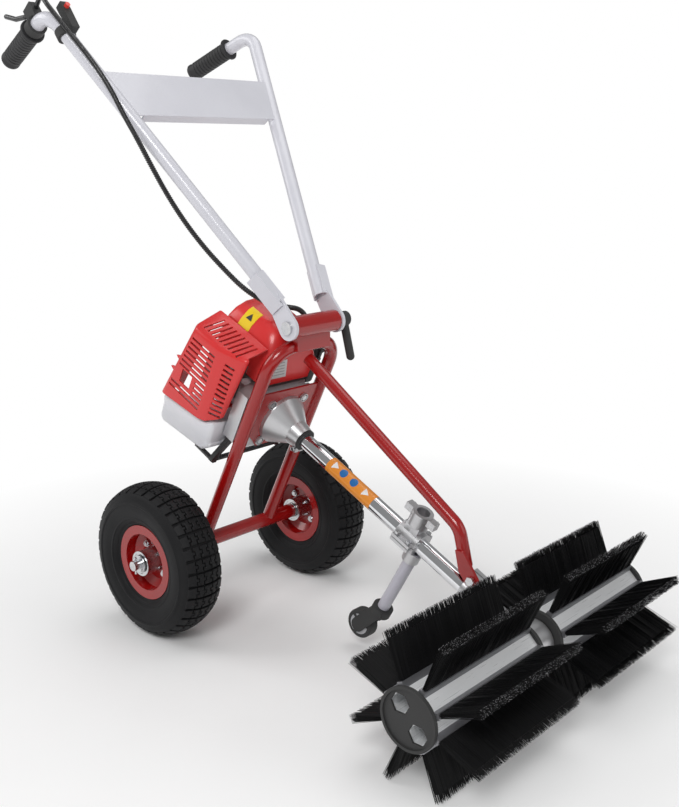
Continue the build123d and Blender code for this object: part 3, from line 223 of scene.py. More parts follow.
def soften(piece: bpy.types.Object, width: float, segments: int = 2) -> None:
    """Round a piece's sharp edges by a width in millimetres."""
    pick(piece)
    modifier = piece.modifiers.new("rounded", "BEVEL")
    modifier.width = width * MM
    modifier.segments = segments
    modifier.limit_method = "ANGLE"
    modifier.angle_limit = math.radians(40)
    bpy.ops.object.modifier_apply(modifier=modifier.name)


def cut(piece: bpy.types.Object, tool: bpy.types.Object, operation: str = "DIFFERENCE") -> None:
    """Cut a piece with a tool, or keep what they share, and throw the tool away."""
    pick(piece)
    modifier = piece.modifiers.new("cut", "BOOLEAN")
    modifier.object = tool
    modifier.operation = operation
    modifier.solver = "EXACT"
    bpy.ops.object.modifier_apply(modifier=modifier.name)
    bpy.data.objects.remove(tool)


def joined(name: str, pieces: Sequence[bpy.types.Object]) -> bpy.types.Object:
    """Join pieces into one, with a new name."""
    deselect_all()
    for piece in pieces:
        piece.select_set(True)
    bpy.context.view_layer.objects.active = pieces[0]
    bpy.ops.object.join()
    pieces[0].name = name
    return pieces[0]


def from_arrays(name: str, points: np.ndarray, faces: Iterable[Sequence[int]]) -> bpy.types.Object:
    """Make a piece from arrays of points in metres and faces."""
    mesh = bpy.data.meshes.new(name)
    mesh.from_pydata(points.tolist(), [], [list(face) for face in faces])
    mesh.update()
    piece = bpy.data.objects.new(name, mesh)
    bpy.context.scene.collection.objects.link(piece)
    return piece


def arrays_of(piece: bpy.types.Object) -> tuple[np.ndarray, list[list[int]]]:
    """Return a piece's points and faces."""
    points = np.array([tuple(vertex.co) for vertex in piece.data.vertices])
    return points, [list(polygon.vertices) for polygon in piece.data.polygons]


def hexagon(centre: Vector, axis: Vector, radius: float) -> list[Vector]:
    """Return a hexagon's corners, for a radius in millimetres."""
    side = axis.orthogonal().normalized()
    return [centre + (Matrix.Rotation(math.radians(60 * k), 3, axis) @ side) * radius * MM for k in range(6)]


# ------------------------------------------------------------------ finishes
@dataclass(frozen=True)
class Finish:
    """A surface finish, mottled, with fine grain in its bump and its gloss."""

    name: str
    colour: Colour
    tone: Colour
    roughness: float
    metallic: float = 0.0
    coat: float = 0.0
    mottle: float = 9.0
    grain: float = 900.0
    relief: float = 0.06
    gloss_swing: float = 0.08
    stretch: Point = (1.0, 1.0, 1.0)
    specular: float = 0.5

    def material(self) -> bpy.types.Material:
        """Return this finish's material, made on first use."""
        made = bpy.data.materials.get(self.name)
        if made is None:
            made = bpy.data.materials.new(self.name)
            made.use_nodes = True
            self.dress(made.node_tree)
        return made

    def dress(self, tree: bpy.types.NodeTree) -> None:
        """Wire the finish's nodes."""
        shader = tree.nodes["Principled BSDF"]
        shader.inputs["Metallic"].default_value = self.metallic
        shader.inputs["Coat Weight"].default_value = self.coat
        shader.inputs["Specular IOR Level"].default_value = self.specular
        shader.inputs["Coat Roughness"].default_value = 0.08
        place = self.placed(tree)
        patches = self.noise(tree, place, self.mottle, 4.0)
        colour = self.blend(tree, patches.outputs["Fac"], self.colour, self.tone)
        tree.links.new(colour, shader.inputs["Base Color"])
        grain = self.noise(tree, place, self.grain, 3.0)
        self.gloss(tree, shader, grain)
        bump = tree.nodes.new("ShaderNodeBump")
        bump.inputs["Strength"].default_value = self.relief
        bump.inputs["Distance"].default_value = 0.0006
        tree.links.new(grain.outputs["Fac"], bump.inputs["Height"])
        tree.links.new(bump.outputs["Normal"], shader.inputs["Normal"])

    def placed(self, tree: bpy.types.NodeTree) -> bpy.types.NodeSocket:
        """Return the object coordinates, stretched for the finish's grain."""
        coordinates = tree.nodes.new("ShaderNodeTexCoord")
        mapping = tree.nodes.new("ShaderNodeMapping")
        mapping.inputs["Scale"].default_value = self.stretch
        tree.links.new(coordinates.outputs["Object"], mapping.inputs["Vector"])
        return mapping.outputs["Vector"]

    def noise(
        self, tree: bpy.types.NodeTree, place: bpy.types.NodeSocket, scale: float, detail: float
    ) -> bpy.types.Node:
        """Return a noise texture at a scale."""
        node = tree.nodes.new("ShaderNodeTexNoise")
        node.inputs["Scale"].default_value = scale
        node.inputs["Detail"].default_value = detail
        tree.links.new(place, node.inputs["Vector"])
        return node

    def blend(
        self, tree: bpy.types.NodeTree, share: bpy.types.NodeSocket, low: Colour, high: Colour
    ) -> bpy.types.NodeSocket:
        """Return a colour that runs from one to another with a share."""
        ramp = tree.nodes.new("ShaderNodeValToRGB")
        ramp.color_ramp.elements[0].position = 0.35
        ramp.color_ramp.elements[0].color = (*low, 1.0)
        ramp.color_ramp.elements[1].position = 0.68
        ramp.color_ramp.elements[1].color = (*high, 1.0)
        tree.links.new(share, ramp.inputs["Fac"])
        return ramp.outputs["Color"]

    def gloss(self, tree: bpy.types.NodeTree, shader: bpy.types.Node, grain: bpy.types.Node) -> None:
        """Vary the roughness with the grain."""
        spread = tree.nodes.new("ShaderNodeMapRange")
        spread.inputs["To Min"].default_value = max(0.02, self.roughness - self.gloss_swing)
        spread.inputs["To Max"].default_value = min(1.0, self.roughness + self.gloss_swing)
        tree.links.new(grain.outputs["Fac"], spread.inputs["Value"])
        tree.links.new(spread.outputs["Result"], shader.inputs["Roughness"])


@dataclass(frozen=True)
class TankPlastic(Finish):
    """Milky plastic that lets some light through."""

    def dress(self, tree: bpy.types.NodeTree) -> None:
        """Add the milkiness to the plain finish."""
        super().dress(tree)
        shader = tree.nodes["Principled BSDF"]
        shader.inputs["Subsurface Weight"].default_value = 0.35
        shader.inputs["Subsurface Radius"].default_value = (0.01, 0.01, 0.009)
        shader.inputs["Subsurface Scale"].default_value = 0.6


@dataclass(frozen=True)
class TippedFinish(Finish):
    """Bristle black that turns to a painted grey highlight at the tips, along the piece's own tip attribute."""

    # grey of the painted highlight on the bristle tips
    tip: Colour = (0.55, 0.55, 0.57)

    def dress(self, tree: bpy.types.NodeTree) -> None:
        """Replace the mottled colour with one that follows the tip attribute, the painted tip highlight."""
        super().dress(tree)
        shader = tree.nodes["Principled BSDF"]
        attribute = tree.nodes.new("ShaderNodeAttribute")
        attribute.attribute_name = "tip"
        ramp = tree.nodes.new("ShaderNodeValToRGB")
        ramp.color_ramp.elements[0].position = 0.3
        ramp.color_ramp.elements[0].color = (*self.colour, 1.0)
        ramp.color_ramp.elements[1].color = (*self.tip, 1.0)
        tree.links.new(attribute.outputs["Fac"], ramp.inputs["Fac"])
        tree.links.new(ramp.outputs["Color"], shader.inputs["Base Color"])


RED_ENAMEL = Finish(
    "red_enamel", (0.35, 0.004, 0.004), (0.31, 0.003, 0.003), 0.24, coat=0.45, grain=400.0, relief=0.004,
    gloss_swing=0.04,
)
WHITE_ENAMEL = Finish(
    "white_enamel", (0.64, 0.64, 0.69), (0.60, 0.60, 0.65), 0.3, coat=0.4, grain=600.0, relief=0.006
)
LILAC_ENAMEL = Finish("lilac_enamel", (0.50, 0.49, 0.55), (0.44, 0.43, 0.49), 0.35, coat=0.2, relief=0.06)
BLACK_ENAMEL = Finish("black_enamel", (0.012, 0.012, 0.013), (0.02, 0.02, 0.02), 0.38, coat=0.2)
RED_PLASTIC = Finish(
    "red_plastic", (0.42, 0.004, 0.004), (0.37, 0.003, 0.003), 0.18, coat=0.6, grain=700.0, relief=0.02
)
BLACK_PLASTIC = Finish(
    "black_plastic", (0.006, 0.006, 0.007), (0.011, 0.011, 0.012), 0.38, grain=1500.0, relief=0.14, specular=0.22
)
SWITCH_RED = Finish("switch_red", (0.6, 0.02, 0.02), (0.5, 0.015, 0.015), 0.3)
TANK = TankPlastic("tank_milky", (0.72, 0.72, 0.75), (0.66, 0.66, 0.70), 0.42, grain=700.0, relief=0.05)
CAST = Finish(
    "cast_alloy", (0.20, 0.19, 0.18), (0.13, 0.125, 0.12), 0.48, 0.75, mottle=26.0, grain=1300.0, relief=0.35
)
CHROME = Finish(
    "chrome_plate", (0.82, 0.83, 0.85), (0.72, 0.73, 0.75), 0.09, 1.0, grain=120.0, relief=0.01,
    gloss_swing=0.04,
)
ZINC = Finish("zinc_plate", (0.68, 0.68, 0.68), (0.56, 0.57, 0.6), 0.26, 1.0, mottle=90.0)
DARK_STEEL = Finish("dark_steel", (0.16, 0.14, 0.12), (0.09, 0.08, 0.08), 0.5, 0.9, mottle=50.0)
EXTRUSION = Finish(
    "mill_aluminium", (0.86, 0.87, 0.88), (0.78, 0.79, 0.80), 0.3, 0.3, mottle=60.0, grain=900.0, relief=0.12,
    stretch=(1.0, 0.02, 1.0),
)
DARK_EXTRUSION = Finish(
    "channel_aluminium", (0.40, 0.40, 0.42), (0.28, 0.28, 0.30), 0.38, 0.8, stretch=(1.0, 0.05, 1.0)
)
TYRE_RUBBER = Finish(
    "tyre_rubber", (0.007, 0.007, 0.008), (0.013, 0.013, 0.014), 0.55, grain=1800.0, relief=0.25, specular=0.2
)
SOFT_RUBBER = Finish("soft_rubber", (0.012, 0.012, 0.013), (0.022, 0.022, 0.024), 0.55, grain=2200.0, relief=0.3)
SLEEVE = Finish("cable_sleeve", (0.012, 0.012, 0.013), (0.02, 0.02, 0.021), 0.35, relief=0.1)
BRISTLE = TippedFinish("bristle_nylon", (0.004, 0.004, 0.0045), (0.008, 0.008, 0.008), 0.5, specular=0.2)
BRONZE = Finish("sintered_bronze", (0.5, 0.33, 0.16), (0.4, 0.26, 0.12), 0.5, 0.9)
ORANGE_PRINT = Finish("orange_print", (0.80, 0.28, 0.02), (0.74, 0.25, 0.02), 0.35, coat=0.3)
WHITE_PRINT = Finish("white_print", (0.82, 0.82, 0.82), (0.76, 0.76, 0.76), 0.35)
BLUE_PRINT = Finish("blue_print", (0.01, 0.16, 0.45), (0.01, 0.13, 0.38), 0.3)
YELLOW_PRINT = Finish("yellow_print", (0.85, 0.60, 0.01), (0.78, 0.54, 0.01), 0.35)
BLACK_PRINT = Finish("black_print", (0.015, 0.015, 0.015), (0.03, 0.03, 0.03), 0.5)
PLATE_PRINT = Finish("silver_print", (0.62, 0.62, 0.61), (0.5, 0.5, 0.5), 0.4, 0.3)
GREY_PRINT = Finish("grey_print", (0.2, 0.2, 0.2), (0.28, 0.28, 0.28), 0.5)
CASTER_GREY = Finish("caster_grey", (0.48, 0.48, 0.5), (0.4, 0.4, 0.42), 0.4)
FLOOR_WHITE = Finish("floor_white", (0.97, 0.97, 0.97), (0.96, 0.96, 0.96), 0.85, grain=40.0, relief=0.0)


def place(
    piece: bpy.types.Object, finish: Finish, body: Body, slot: str, replaces: Sequence[str] = ()
) -> None:
    """Finish a piece and tie it to the CAD model.

    Args:
        piece: the modelled piece.
        finish: what it is made of.
        body: the CAD body that it rides on.
        slot: not used.
        replaces: CAD nodes that it stands for.
    """
    piece.data.materials.clear()
    piece.data.materials.append(finish.material())
    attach(piece, body.value)
    if replaces:
        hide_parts(*replaces)
    LOG.info("%s: %d faces on %s", piece.name, len(piece.data.polygons), body.value)


# ------------------------------------------------------------------ carried-over CAD nodes
@dataclass
class CarriedNodes:
    """CAD nodes whose shape stays, each with its own finish."""

    groups: tuple[tuple[Finish, str], ...] = (
        (RED_ENAMEL, "frame_hoop engine_plate pivot_tube front_strut right_rim left_rim"),
        (WHITE_ENAMEL, "right_arm left_arm cross_plate"),
        (RED_PLASTIC, "recoil_starter"),
        (BLACK_ENAMEL, "tank_guard throttle_lever"),
        (
            CAST,
            "fan_case crankcase cylinder clutch_housing gear_housing tube_clamp carburettor "
            "flywheel",
        ),
        (CHROME, "drive_tube"),
        (LILAC_ENAMEL, "support_leg"),
        (
            ZINC,
            "wheel_axle wheel_retainers steel_bolts right_rim_bolts left_rim_bolts right_hub "
            "left_hub crankshaft clutch_drum drive_shaft crown_gear cross_shaft pivot_bolt",
        ),
        (DARK_STEEL, "muffler spark_plug"),
        (BRONZE, "bushes"),
        (EXTRUSION, "roller_cores"),
        (
            BLACK_PLASTIC,
            "end_caps caster_fork caster_wheel clamp_lever throttle_bracket stop_switch "
            "starter_grip air_filter_cover choke_lever fuel_cap",
        ),
        (SWITCH_RED, "switch_button"),
        (SLEEVE, "starter_rope"),
        (SOFT_RUBBER, "primer_bulb"),
    )

    def dress(self) -> None:
        """Give every carried node its finish."""
        for finish, names in self.groups:
            for node in names.split():
                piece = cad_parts[node]
                piece.data.materials.clear()
                piece.data.materials.append(finish.material())
            LOG.info("%s: %s", finish.name, names)


# ------------------------------------------------------------------ wheels
@dataclass
class Tyre:
    """Pneumatic tyre with an interlocking turf tread."""

    body: Body
    node: str
    centre_y: float
    radius: float = 130.0
    tread_depth: float = 4.2
    blocks: int = 36

    def build(self) -> None:
        """Build the carcass and its tread."""
        centre = AXLE + Vector((0.0, self.centre_y, 0.0)) * MM
        carcass = lathe(f"{self.node}_carcass", self.carcass_profile(), centre, Vector((0.0, 1.0, 0.0)), 72)
        tread = self.tread(centre)
        piece = joined(f"{self.node}_treaded", [carcass, tread])
        settle(piece, 40.0)
        place(piece, TYRE_RUBBER, self.body, "tyre", [self.node])

    def crown(self, y: float) -> float:
        """Return the tread's outer radius at a distance from its middle."""
        return self.radius - 8.0 * (y / 33.0) ** 2

    def carcass_profile(self) -> list[tuple[float, float]]:
        """Return the carcass section: beads, ridged walls, shoulders and the tread's floor."""
        wall = [
            (51.8, 19.0), (51.8, 26.0), (63.6, 27.2), (66.0, 30.5), (68.5, 31.2), (70.0, 33.4), (72.5, 35.3),
            (74.0, 36.0), (75.2, 36.4), (76.2, 38.0), (78.2, 38.4), (79.2, 38.0), (80.0, 38.2), (88.0, 40.2),
            (95.0, 40.9), (101.0, 40.6), (102.2, 41.6), (105.0, 41.4), (106.0, 40.2), (112.0, 38.6),
            (117.0, 36.0), (119.6, 33.5),
        ]
        across = (30.0, 24.0, 16.0, 8.0, 0.0, -8.0, -16.0, -24.0, -30.0)
        floor = [(self.crown(y) - self.tread_depth, y) for y in across]
        inner = [(51.8, -19.0), (64.0, -20.0), (92.0, -34.0), (114.0, -28.0), (119.0, -15.0), (121.0, 0.0)]
        inner += [(119.0, 15.0), (114.0, 28.0), (92.0, 34.0), (64.0, 20.0), (51.8, 19.0)]
        return wall + floor + [(r, -y) for r, y in reversed(wall[1:])] + inner

    def tread(self, centre: Vector) -> bpy.types.Object:
        """Return every tread block, bent round the tyre."""
        middle = [
            (-9.4, -7.5), (-3.4, -7.5), (-3.4, -3.8), (3.4, -3.8), (3.4, -7.5), (9.4, -7.5),
            (9.4, 7.5), (3.4, 7.5), (3.4, 3.8), (-3.4, 3.8), (-3.4, 7.5), (-9.4, 7.5),
        ]
        inner = [
            (-9.6, 9.3), (-2.4, 9.3), (-2.4, 5.4), (2.4, 5.4), (2.4, 9.3), (9.6, 9.3),
            (9.6, 20.0), (3.6, 20.0), (3.6, 16.6), (-3.6, 16.6), (-3.6, 20.0), (-9.6, 20.0),
        ]
        outer = [
            (-9.6, 21.8), (-2.4, 21.8), (-2.4, 18.2), (2.4, 18.2), (2.4, 21.8), (9.6, 21.8),
            (8.6, 34.5), (-8.6, 34.5),
        ]
        rows = [middle]
        for sign in (1, -1):
            rows.append([(t, sign * y) for t, y in inner][::sign])
            rows.append([(t, sign * y) for t, y in outer][::sign])
        points: list[Point] = []
        faces: list[list[int]] = []
        for outline in rows:
            block, sides = self.block(outline)
            for index in range(self.blocks):
                start = len(points)
                turn = 2 * math.pi * index / self.blocks
                for t, y, height in block:
                    angle = turn + t / self.radius
                    radius = (self.crown(y) - self.tread_depth + height) * MM
                    points.append((radius * math.cos(angle), y * MM, radius * math.sin(angle)))
                faces.extend([[start + k for k in face] for face in sides])
        return from_arrays("tread", np.array(points) + np.array(centre), faces)

    def block(self, outline: list[tuple[float, float]]) -> tuple[np.ndarray, list[list[int]]]:
        """Model one flat block with a chamfered top; return its points in millimetres and its faces."""
        flat = [Vector((t, y, -1.2)) * MM for t, y in outline]
        piece = prism("block", flat, Vector((0.0, 0.0, self.tread_depth + 0.4)) * MM)
        edit(piece)
        bpy.ops.mesh.select_all(action="DESELECT")
        bpy.ops.object.mode_set(mode="OBJECT")
        top = max(vertex.co.z for vertex in piece.data.vertices)
        for polygon in piece.data.polygons:
            polygon.select = all(abs(piece.data.vertices[k].co.z - top) < 1e-6 for k in polygon.vertices)
        bpy.ops.object.mode_set(mode="EDIT")
        bpy.ops.mesh.select_mode(type="FACE")
        bpy.ops.mesh.inset(thickness=0.8 * MM, depth=0.8 * MM)
        bpy.ops.object.mode_set(mode="OBJECT")
        origin = piece.location
        points, faces = arrays_of(piece)
        points = (points + np.array(origin)) / MM
        bpy.data.objects.remove(piece)
        return points, faces


@dataclass
class CasterHub:
    """Three pale arcs on each face of the caster's wheel."""

    centre: Vector = field(default_factory=lambda: Vector((100.51, 0.0, 43.56)) * MM)
    face_y: float = 10.0

    def build(self) -> None:
        """Build the arcs on both faces of the hub."""
        pieces = []
        for side in (-1.0, 1.0):
            for index in range(3):
                start = math.radians(120 * index + 12)
                arc = [start + math.radians(96) * k / 8 for k in range(9)]
                ring = [(17.5, a) for a in arc] + [(10.5, a) for a in reversed(arc)]
                outline = [
                    self.centre + Vector((r * math.cos(a), side * (self.face_y - 0.4), r * math.sin(a))) * MM
                    for r, a in ring
                ]
                pieces.append(prism("arc", outline, Vector((0.0, side * 0.55, 0.0)) * MM))
        piece = joined("caster_hub_arcs", pieces)
        settle(piece)
        place(piece, CASTER_GREY, Body.CASTER_ROLL, "black_plastic")


# ------------------------------------------------------------------ broom
@dataclass
class Bristles:
    """Bristle rows of one roller, on a dark backing."""

    side: float
    rows: int = 8
    root: float = 39.0
    reach: float = 112.0
    start: float = 30.0
    end: float = 268.0
    spacing: float = 1.6
    across: int = 6

    def build(self) -> None:
        """Build the backing and every bristle."""
        randomness = random.Random(7 + int(self.side))
        model, faces = self.one_bristle()
        points: list[np.ndarray] = []
        tips: list[np.ndarray] = []
        every: list[list[int]] = []
        count = int((self.end - self.start) / self.spacing)
        size = len(model)
        for row in range(self.rows):
            angle = math.radians(22.5 + 45.0 * row)
            out = np.array((math.cos(angle), 0.0, math.sin(angle)))
            across = np.array((-math.sin(angle), 0.0, math.cos(angle)))
            for step in range(count):
                for layer in range(self.across):
                    spread = (layer + 0.5) / self.across * 2 - 1 + randomness.uniform(-0.12, 0.12)
                    y = self.start + (step + randomness.random()) * self.spacing
                    length = self.reach - randomness.random() ** 2 * 3.0
                    lean = randomness.uniform(-1.1, 1.1)
                    along = self.root + model[:, 2] * (length - self.root)
                    share = model[:, 2]
                    wide = spread * (2.6 + 3.6 * share) + model[:, 0] * (0.9 - 0.3 * share)
                    deep = y + lean * share**2 + model[:, 1] * (0.9 - 0.3 * share)
                    spots = along[:, None] * out + wide[:, None] * across
                    spots[:, 1] += np.clip(deep, self.start, self.end) * self.side
                    every.extend([[len(points) * size + k for k in face] for face in faces])
                    points.append(spots)
                    # painted highlight: each bristle's tip gets a random share of the grey tip colour
                    tips.append((share > 0.99) * randomness.random())
        placed = np.concatenate(points) * MM + np.array(BROOM_AXIS)
        piece = from_arrays(self.name("bristles"), placed, every)
        attribute = piece.data.attributes.new("tip", "FLOAT", "POINT")
        attribute.data.foreach_set("value", np.concatenate(tips).astype(np.float32))
        pick(piece)
        place(piece, BRISTLE, Body.BROOM, "bristle", ["bristle_strips"])
        self.build_backing()

    def name(self, what: str) -> str:
        """Return a piece's name for this side."""
        return ("left_" if self.side > 0 else "right_") + what

    def one_bristle(self) -> tuple[np.ndarray, list[list[int]]]:
        """Model one three-sided bristle, one unit long; return its points and its faces."""
        deselect_all()
        middle = (0.0, 0.0, 0.5)
        bpy.ops.mesh.primitive_cone_add(vertices=3, radius1=0.62, radius2=0.5, depth=1.0, location=middle)
        piece = bpy.context.object
        bpy.ops.object.transform_apply(location=True, rotation=True, scale=True)
        edit(piece)
        bpy.ops.mesh.bisect(plane_co=(0.0, 0.0, 0.97), plane_no=(0.0, 0.0, 1.0))
        bpy.ops.object.mode_set(mode="OBJECT")
        points, faces = arrays_of(piece)
        bpy.data.objects.remove(piece)
        return points, [face for face in faces if not all(points[k, 2] < 0.01 for k in face)]

    def build_backing(self) -> None:
        """Build the solid core of each row, where the bristles are packed tight, and its metal channel."""
        cores = []
        rails = []
        for row in range(self.rows):
            angle = math.radians(22.5 + 45.0 * row)
            out = Vector((math.cos(angle), 0.0, math.sin(angle)))
            across = Vector((-math.sin(angle), 0.0, math.cos(angle)))
            base = BROOM_AXIS + Vector((0.0, self.side * (self.start + 5.0), 0.0)) * MM
            depth = Vector((0.0, self.side * (self.end - self.start - 10.0), 0.0)) * MM
            section = [(39.5, -2.4), (101.0, -4.4), (101.0, 4.4), (39.5, 2.4)]
            cores.append(prism("core", [base + (out * r + across * a) * MM for r, a in section], depth))
            rail = [(39.4, -5.4), (46.5, -4.4), (46.5, 4.4), (39.4, 5.4), (37.8, 5.4), (37.8, -5.4)]
            start = BROOM_AXIS + Vector((0.0, self.side * 28.2, 0.0)) * MM
            length = Vector((0.0, self.side * 241.0, 0.0)) * MM
            rails.append(prism("rail", [start + (out * r + across * a) * MM for r, a in rail], length))
        backing = settle(joined(self.name("bristle_backing"), cores))
        backing.data.attributes.new("tip", "FLOAT", "POINT")
        place(backing, BRISTLE, Body.BROOM, "bristle")
        rail_piece = settle(joined(self.name("strip_channels"), rails))
        place(rail_piece, DARK_EXTRUSION, Body.BROOM, "core_alloy")


# ------------------------------------------------------------------ handle
@dataclass
class Grips:
    """Ribbed rubber grips on the arms' ends."""

    start: float = 61.0
    length: float = 104.0
    bend_s: float = 598.5
    bend_y: float = 218.13
    toe_in: float = 0.12
    drop: float = 22.8
    ribs: int = 11

    def direction(self, side: float) -> Vector:
        """Return a grip's direction, in the machine's axes."""
        back, down = math.cos(math.radians(self.drop)), math.sin(math.radians(self.drop))
        return Vector((-back, -side * self.toe_in, -down)).normalized()

    def build(self) -> None:
        """Build both grips."""
        pieces = []
        for side in (-1.0, 1.0):
            bend = HANDLE.at(0.0, side * self.bend_y, self.bend_s)
            pieces.append(lathe("grip", self.profile(), bend, self.direction(side), 32))
        piece = settle(joined("ribbed_grips", pieces), 50.0)
        place(piece, SOFT_RUBBER, Body.HANDLE, "rubber", ["hand_grips"])

    def profile(self) -> list[tuple[float, float]]:
        """Return the grip's section: flange, ribs and rounded end."""
        a = self.start
        points = [(11.6, a), (19.0, a), (20.0, a + 1.2), (20.0, a + 3.0), (18.6, a + 4.4), (15.6, a + 5.0)]
        pitch = (self.length - 22.0) / self.ribs
        for index in range(self.ribs):
            low = a + 9.0 + index * pitch
            points += [(14.8, low), (16.0, low + 0.9), (16.0, low + pitch - 2.2), (14.8, low + pitch - 1.3)]
        end = a + self.length
        points += [(15.4, end - 9.0), (16.2, end - 7.0), (16.2, end - 3.0), (14.8, end - 0.8)]
        return points + [(12.0, end), (0.0, end)]


@dataclass
class ThrottleCable:
    """Sleeved cable that runs from the lever's bracket to the carburettor."""

    route: tuple[Point, ...] = (
        (-404, -209, 1019), (-388, -213, 1030), (-365, -222, 1030), (-346, -227, 1016), (-328, -221, 995),
        (-306, -213, 969), (-283, -204, 941), (-262, -195, 912), (-246, -186, 882), (-232, -178, 849),
        (-215, -167, 813), (-203, -150, 769), (-190, -131, 724), (-173, -112, 682), (-151, -93, 643),
        (-126, -75, 609), (-99, -58, 578), (-68, -38, 556), (-53, -10, 549), (-53, 20, 543), (-62, 46, 525),
        (-79, 60, 502), (-95, 62, 486), (-106, 62, 466),
    )
    radius: float = 4.4
    pitch: float = 3.4
    plain_share: float = 0.38

    def centre_line(self) -> np.ndarray:
        """Return points along the cable's NURBS line, in metres."""
        curve = bpy.data.curves.new("cable_route", "CURVE")
        curve.dimensions = "3D"
        spline = curve.splines.new("NURBS")
        spline.points.add(len(self.route) - 1)
        for point, spot in zip(spline.points, self.route):
            point.co = (*(c * MM for c in spot), 1.0)
        spline.order_u = 3
        spline.use_endpoint_u = True
        spline.resolution_u = 24
        carrier = bpy.data.objects.new("cable_route", curve)
        bpy.context.scene.collection.objects.link(carrier)
        mesh = bpy.data.meshes.new_from_object(carrier)
        points = np.array([tuple(vertex.co) for vertex in mesh.vertices])
        bpy.data.objects.remove(carrier)
        bpy.data.meshes.remove(mesh)
        return points

    def build(self) -> None:
        """Build the corrugated sleeve along the line."""
        line = self.centre_line()
        steps = np.linalg.norm(np.diff(line, axis=0), axis=1)
        far = np.concatenate(([0.0], np.cumsum(steps)))
        LOG.info("throttle cable: %.3f m", far[-1])
        rings = int(far[-1] / (self.pitch * MM / 4))
        stations = np.linspace(0.0, far[-1], rings)
        centres = np.stack([np.interp(stations, far, line[:, k]) for k in range(3)], axis=1)
        ahead = np.gradient(centres, axis=0)
        ahead /= np.linalg.norm(ahead, axis=1)[:, None]
        upward = np.array((0.3, 0.9, 0.2))
        first = np.cross(ahead, upward)
        first /= np.linalg.norm(first, axis=1)[:, None]
        second = np.cross(ahead, first)
        sides = 12
        ripple = np.where(np.arange(rings) % 4 < 2, 1.0, -0.3) * (stations > self.plain_share * far[-1])
        swell = (self.radius - 0.55 + 0.55 * ripple) * MM
        points = []
        for k in range(sides):
            angle = 2 * math.pi * k / sides
            points.append(centres + swell[:, None] * (first * math.cos(angle) + second * math.sin(angle)))
        grid = np.stack(points, axis=1).reshape(-1, 3)
        faces = []
        for ring in range(rings - 1):
            for k in range(sides):
                after = (k + 1) % sides
                low, high = ring * sides, (ring + 1) * sides
                faces.append((low + k, high + k, high + after, low + after))
        faces.append(tuple(range(sides)))
        faces.append(tuple((rings - 1) * sides + k for k in reversed(range(sides))))
        piece = from_arrays("throttle_cable_sleeve", grid, faces)
        edit(piece)
        bpy.ops.mesh.normals_make_consistent(inside=False)
        settle(piece, 30.0)
        piece.data.materials.append(SLEEVE.material())
        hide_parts("throttle_cable")
        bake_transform(piece)
        LOG.info("%s: %d faces", piece.name, len(piece.data.polygons))


# ------------------------------------------------------------------ engine trim
@dataclass
class DrivePrints:
    """Orange band with plain symbols round the drive tube."""

    low: float = 82.0
    high: float = 185.0
    radius: float = 13.2

    def build(self) -> None:
        """Build the band, its discs and its triangles."""
        axis = DRIVE.first
        profile = [(13.0, self.low), (self.radius, self.low), (self.radius, self.high), (13.0, self.high)]
        band = lathe("tube_band", profile, DRIVE.origin, axis, 64)
        settle(band)
        place(band, ORANGE_PRINT, Body.FRAME, "chrome")
        self.symbol("tube_discs", [116.0, 140.0], 7.2, 24, BLUE_PRINT)
        self.symbol("tube_marks", [96.0, 166.0], 8.0, 3, WHITE_PRINT)

    def symbol(self, name: str, stations: Sequence[float], size: float, corners: int, finish: Finish) -> None:
        """Wrap flat symbols round the tube's right upper side.

        Args:
            name: name of the piece.
            stations: distances down the tube.
            size: radius of each symbol in millimetres.
            corners: corners of its outline.
            finish: its print.
        """
        pieces = []
        slant = math.radians(38)
        outward = (-DRIVE.second * math.sin(slant) + DRIVE.third * math.cos(slant)).normalized()
        sideways = DRIVE.first.cross(outward).normalized()
        for station in stations:
            low, high, skin = station - 12, station + 12, self.radius + 0.12
            ring = [(self.radius, low), (skin, low), (skin, high), (self.radius, high), (self.radius, low)]
            shell = lathe(name, ring, DRIVE.origin, DRIVE.first, 64)
            centre = DRIVE.at(station, 0.0, 0.0) + outward * 4 * MM
            outline = [
                centre + (DRIVE.first * math.cos(a) + sideways * math.sin(a)) * size * MM
                for a in (2 * math.pi * k / corners for k in range(corners))
            ]
            cut(shell, prism("tool", outline, outward * 20 * MM), "INTERSECT")
            pieces.append(shell)
        piece = settle(joined(name, pieces))
        place(piece, finish, Body.FRAME, "chrome")


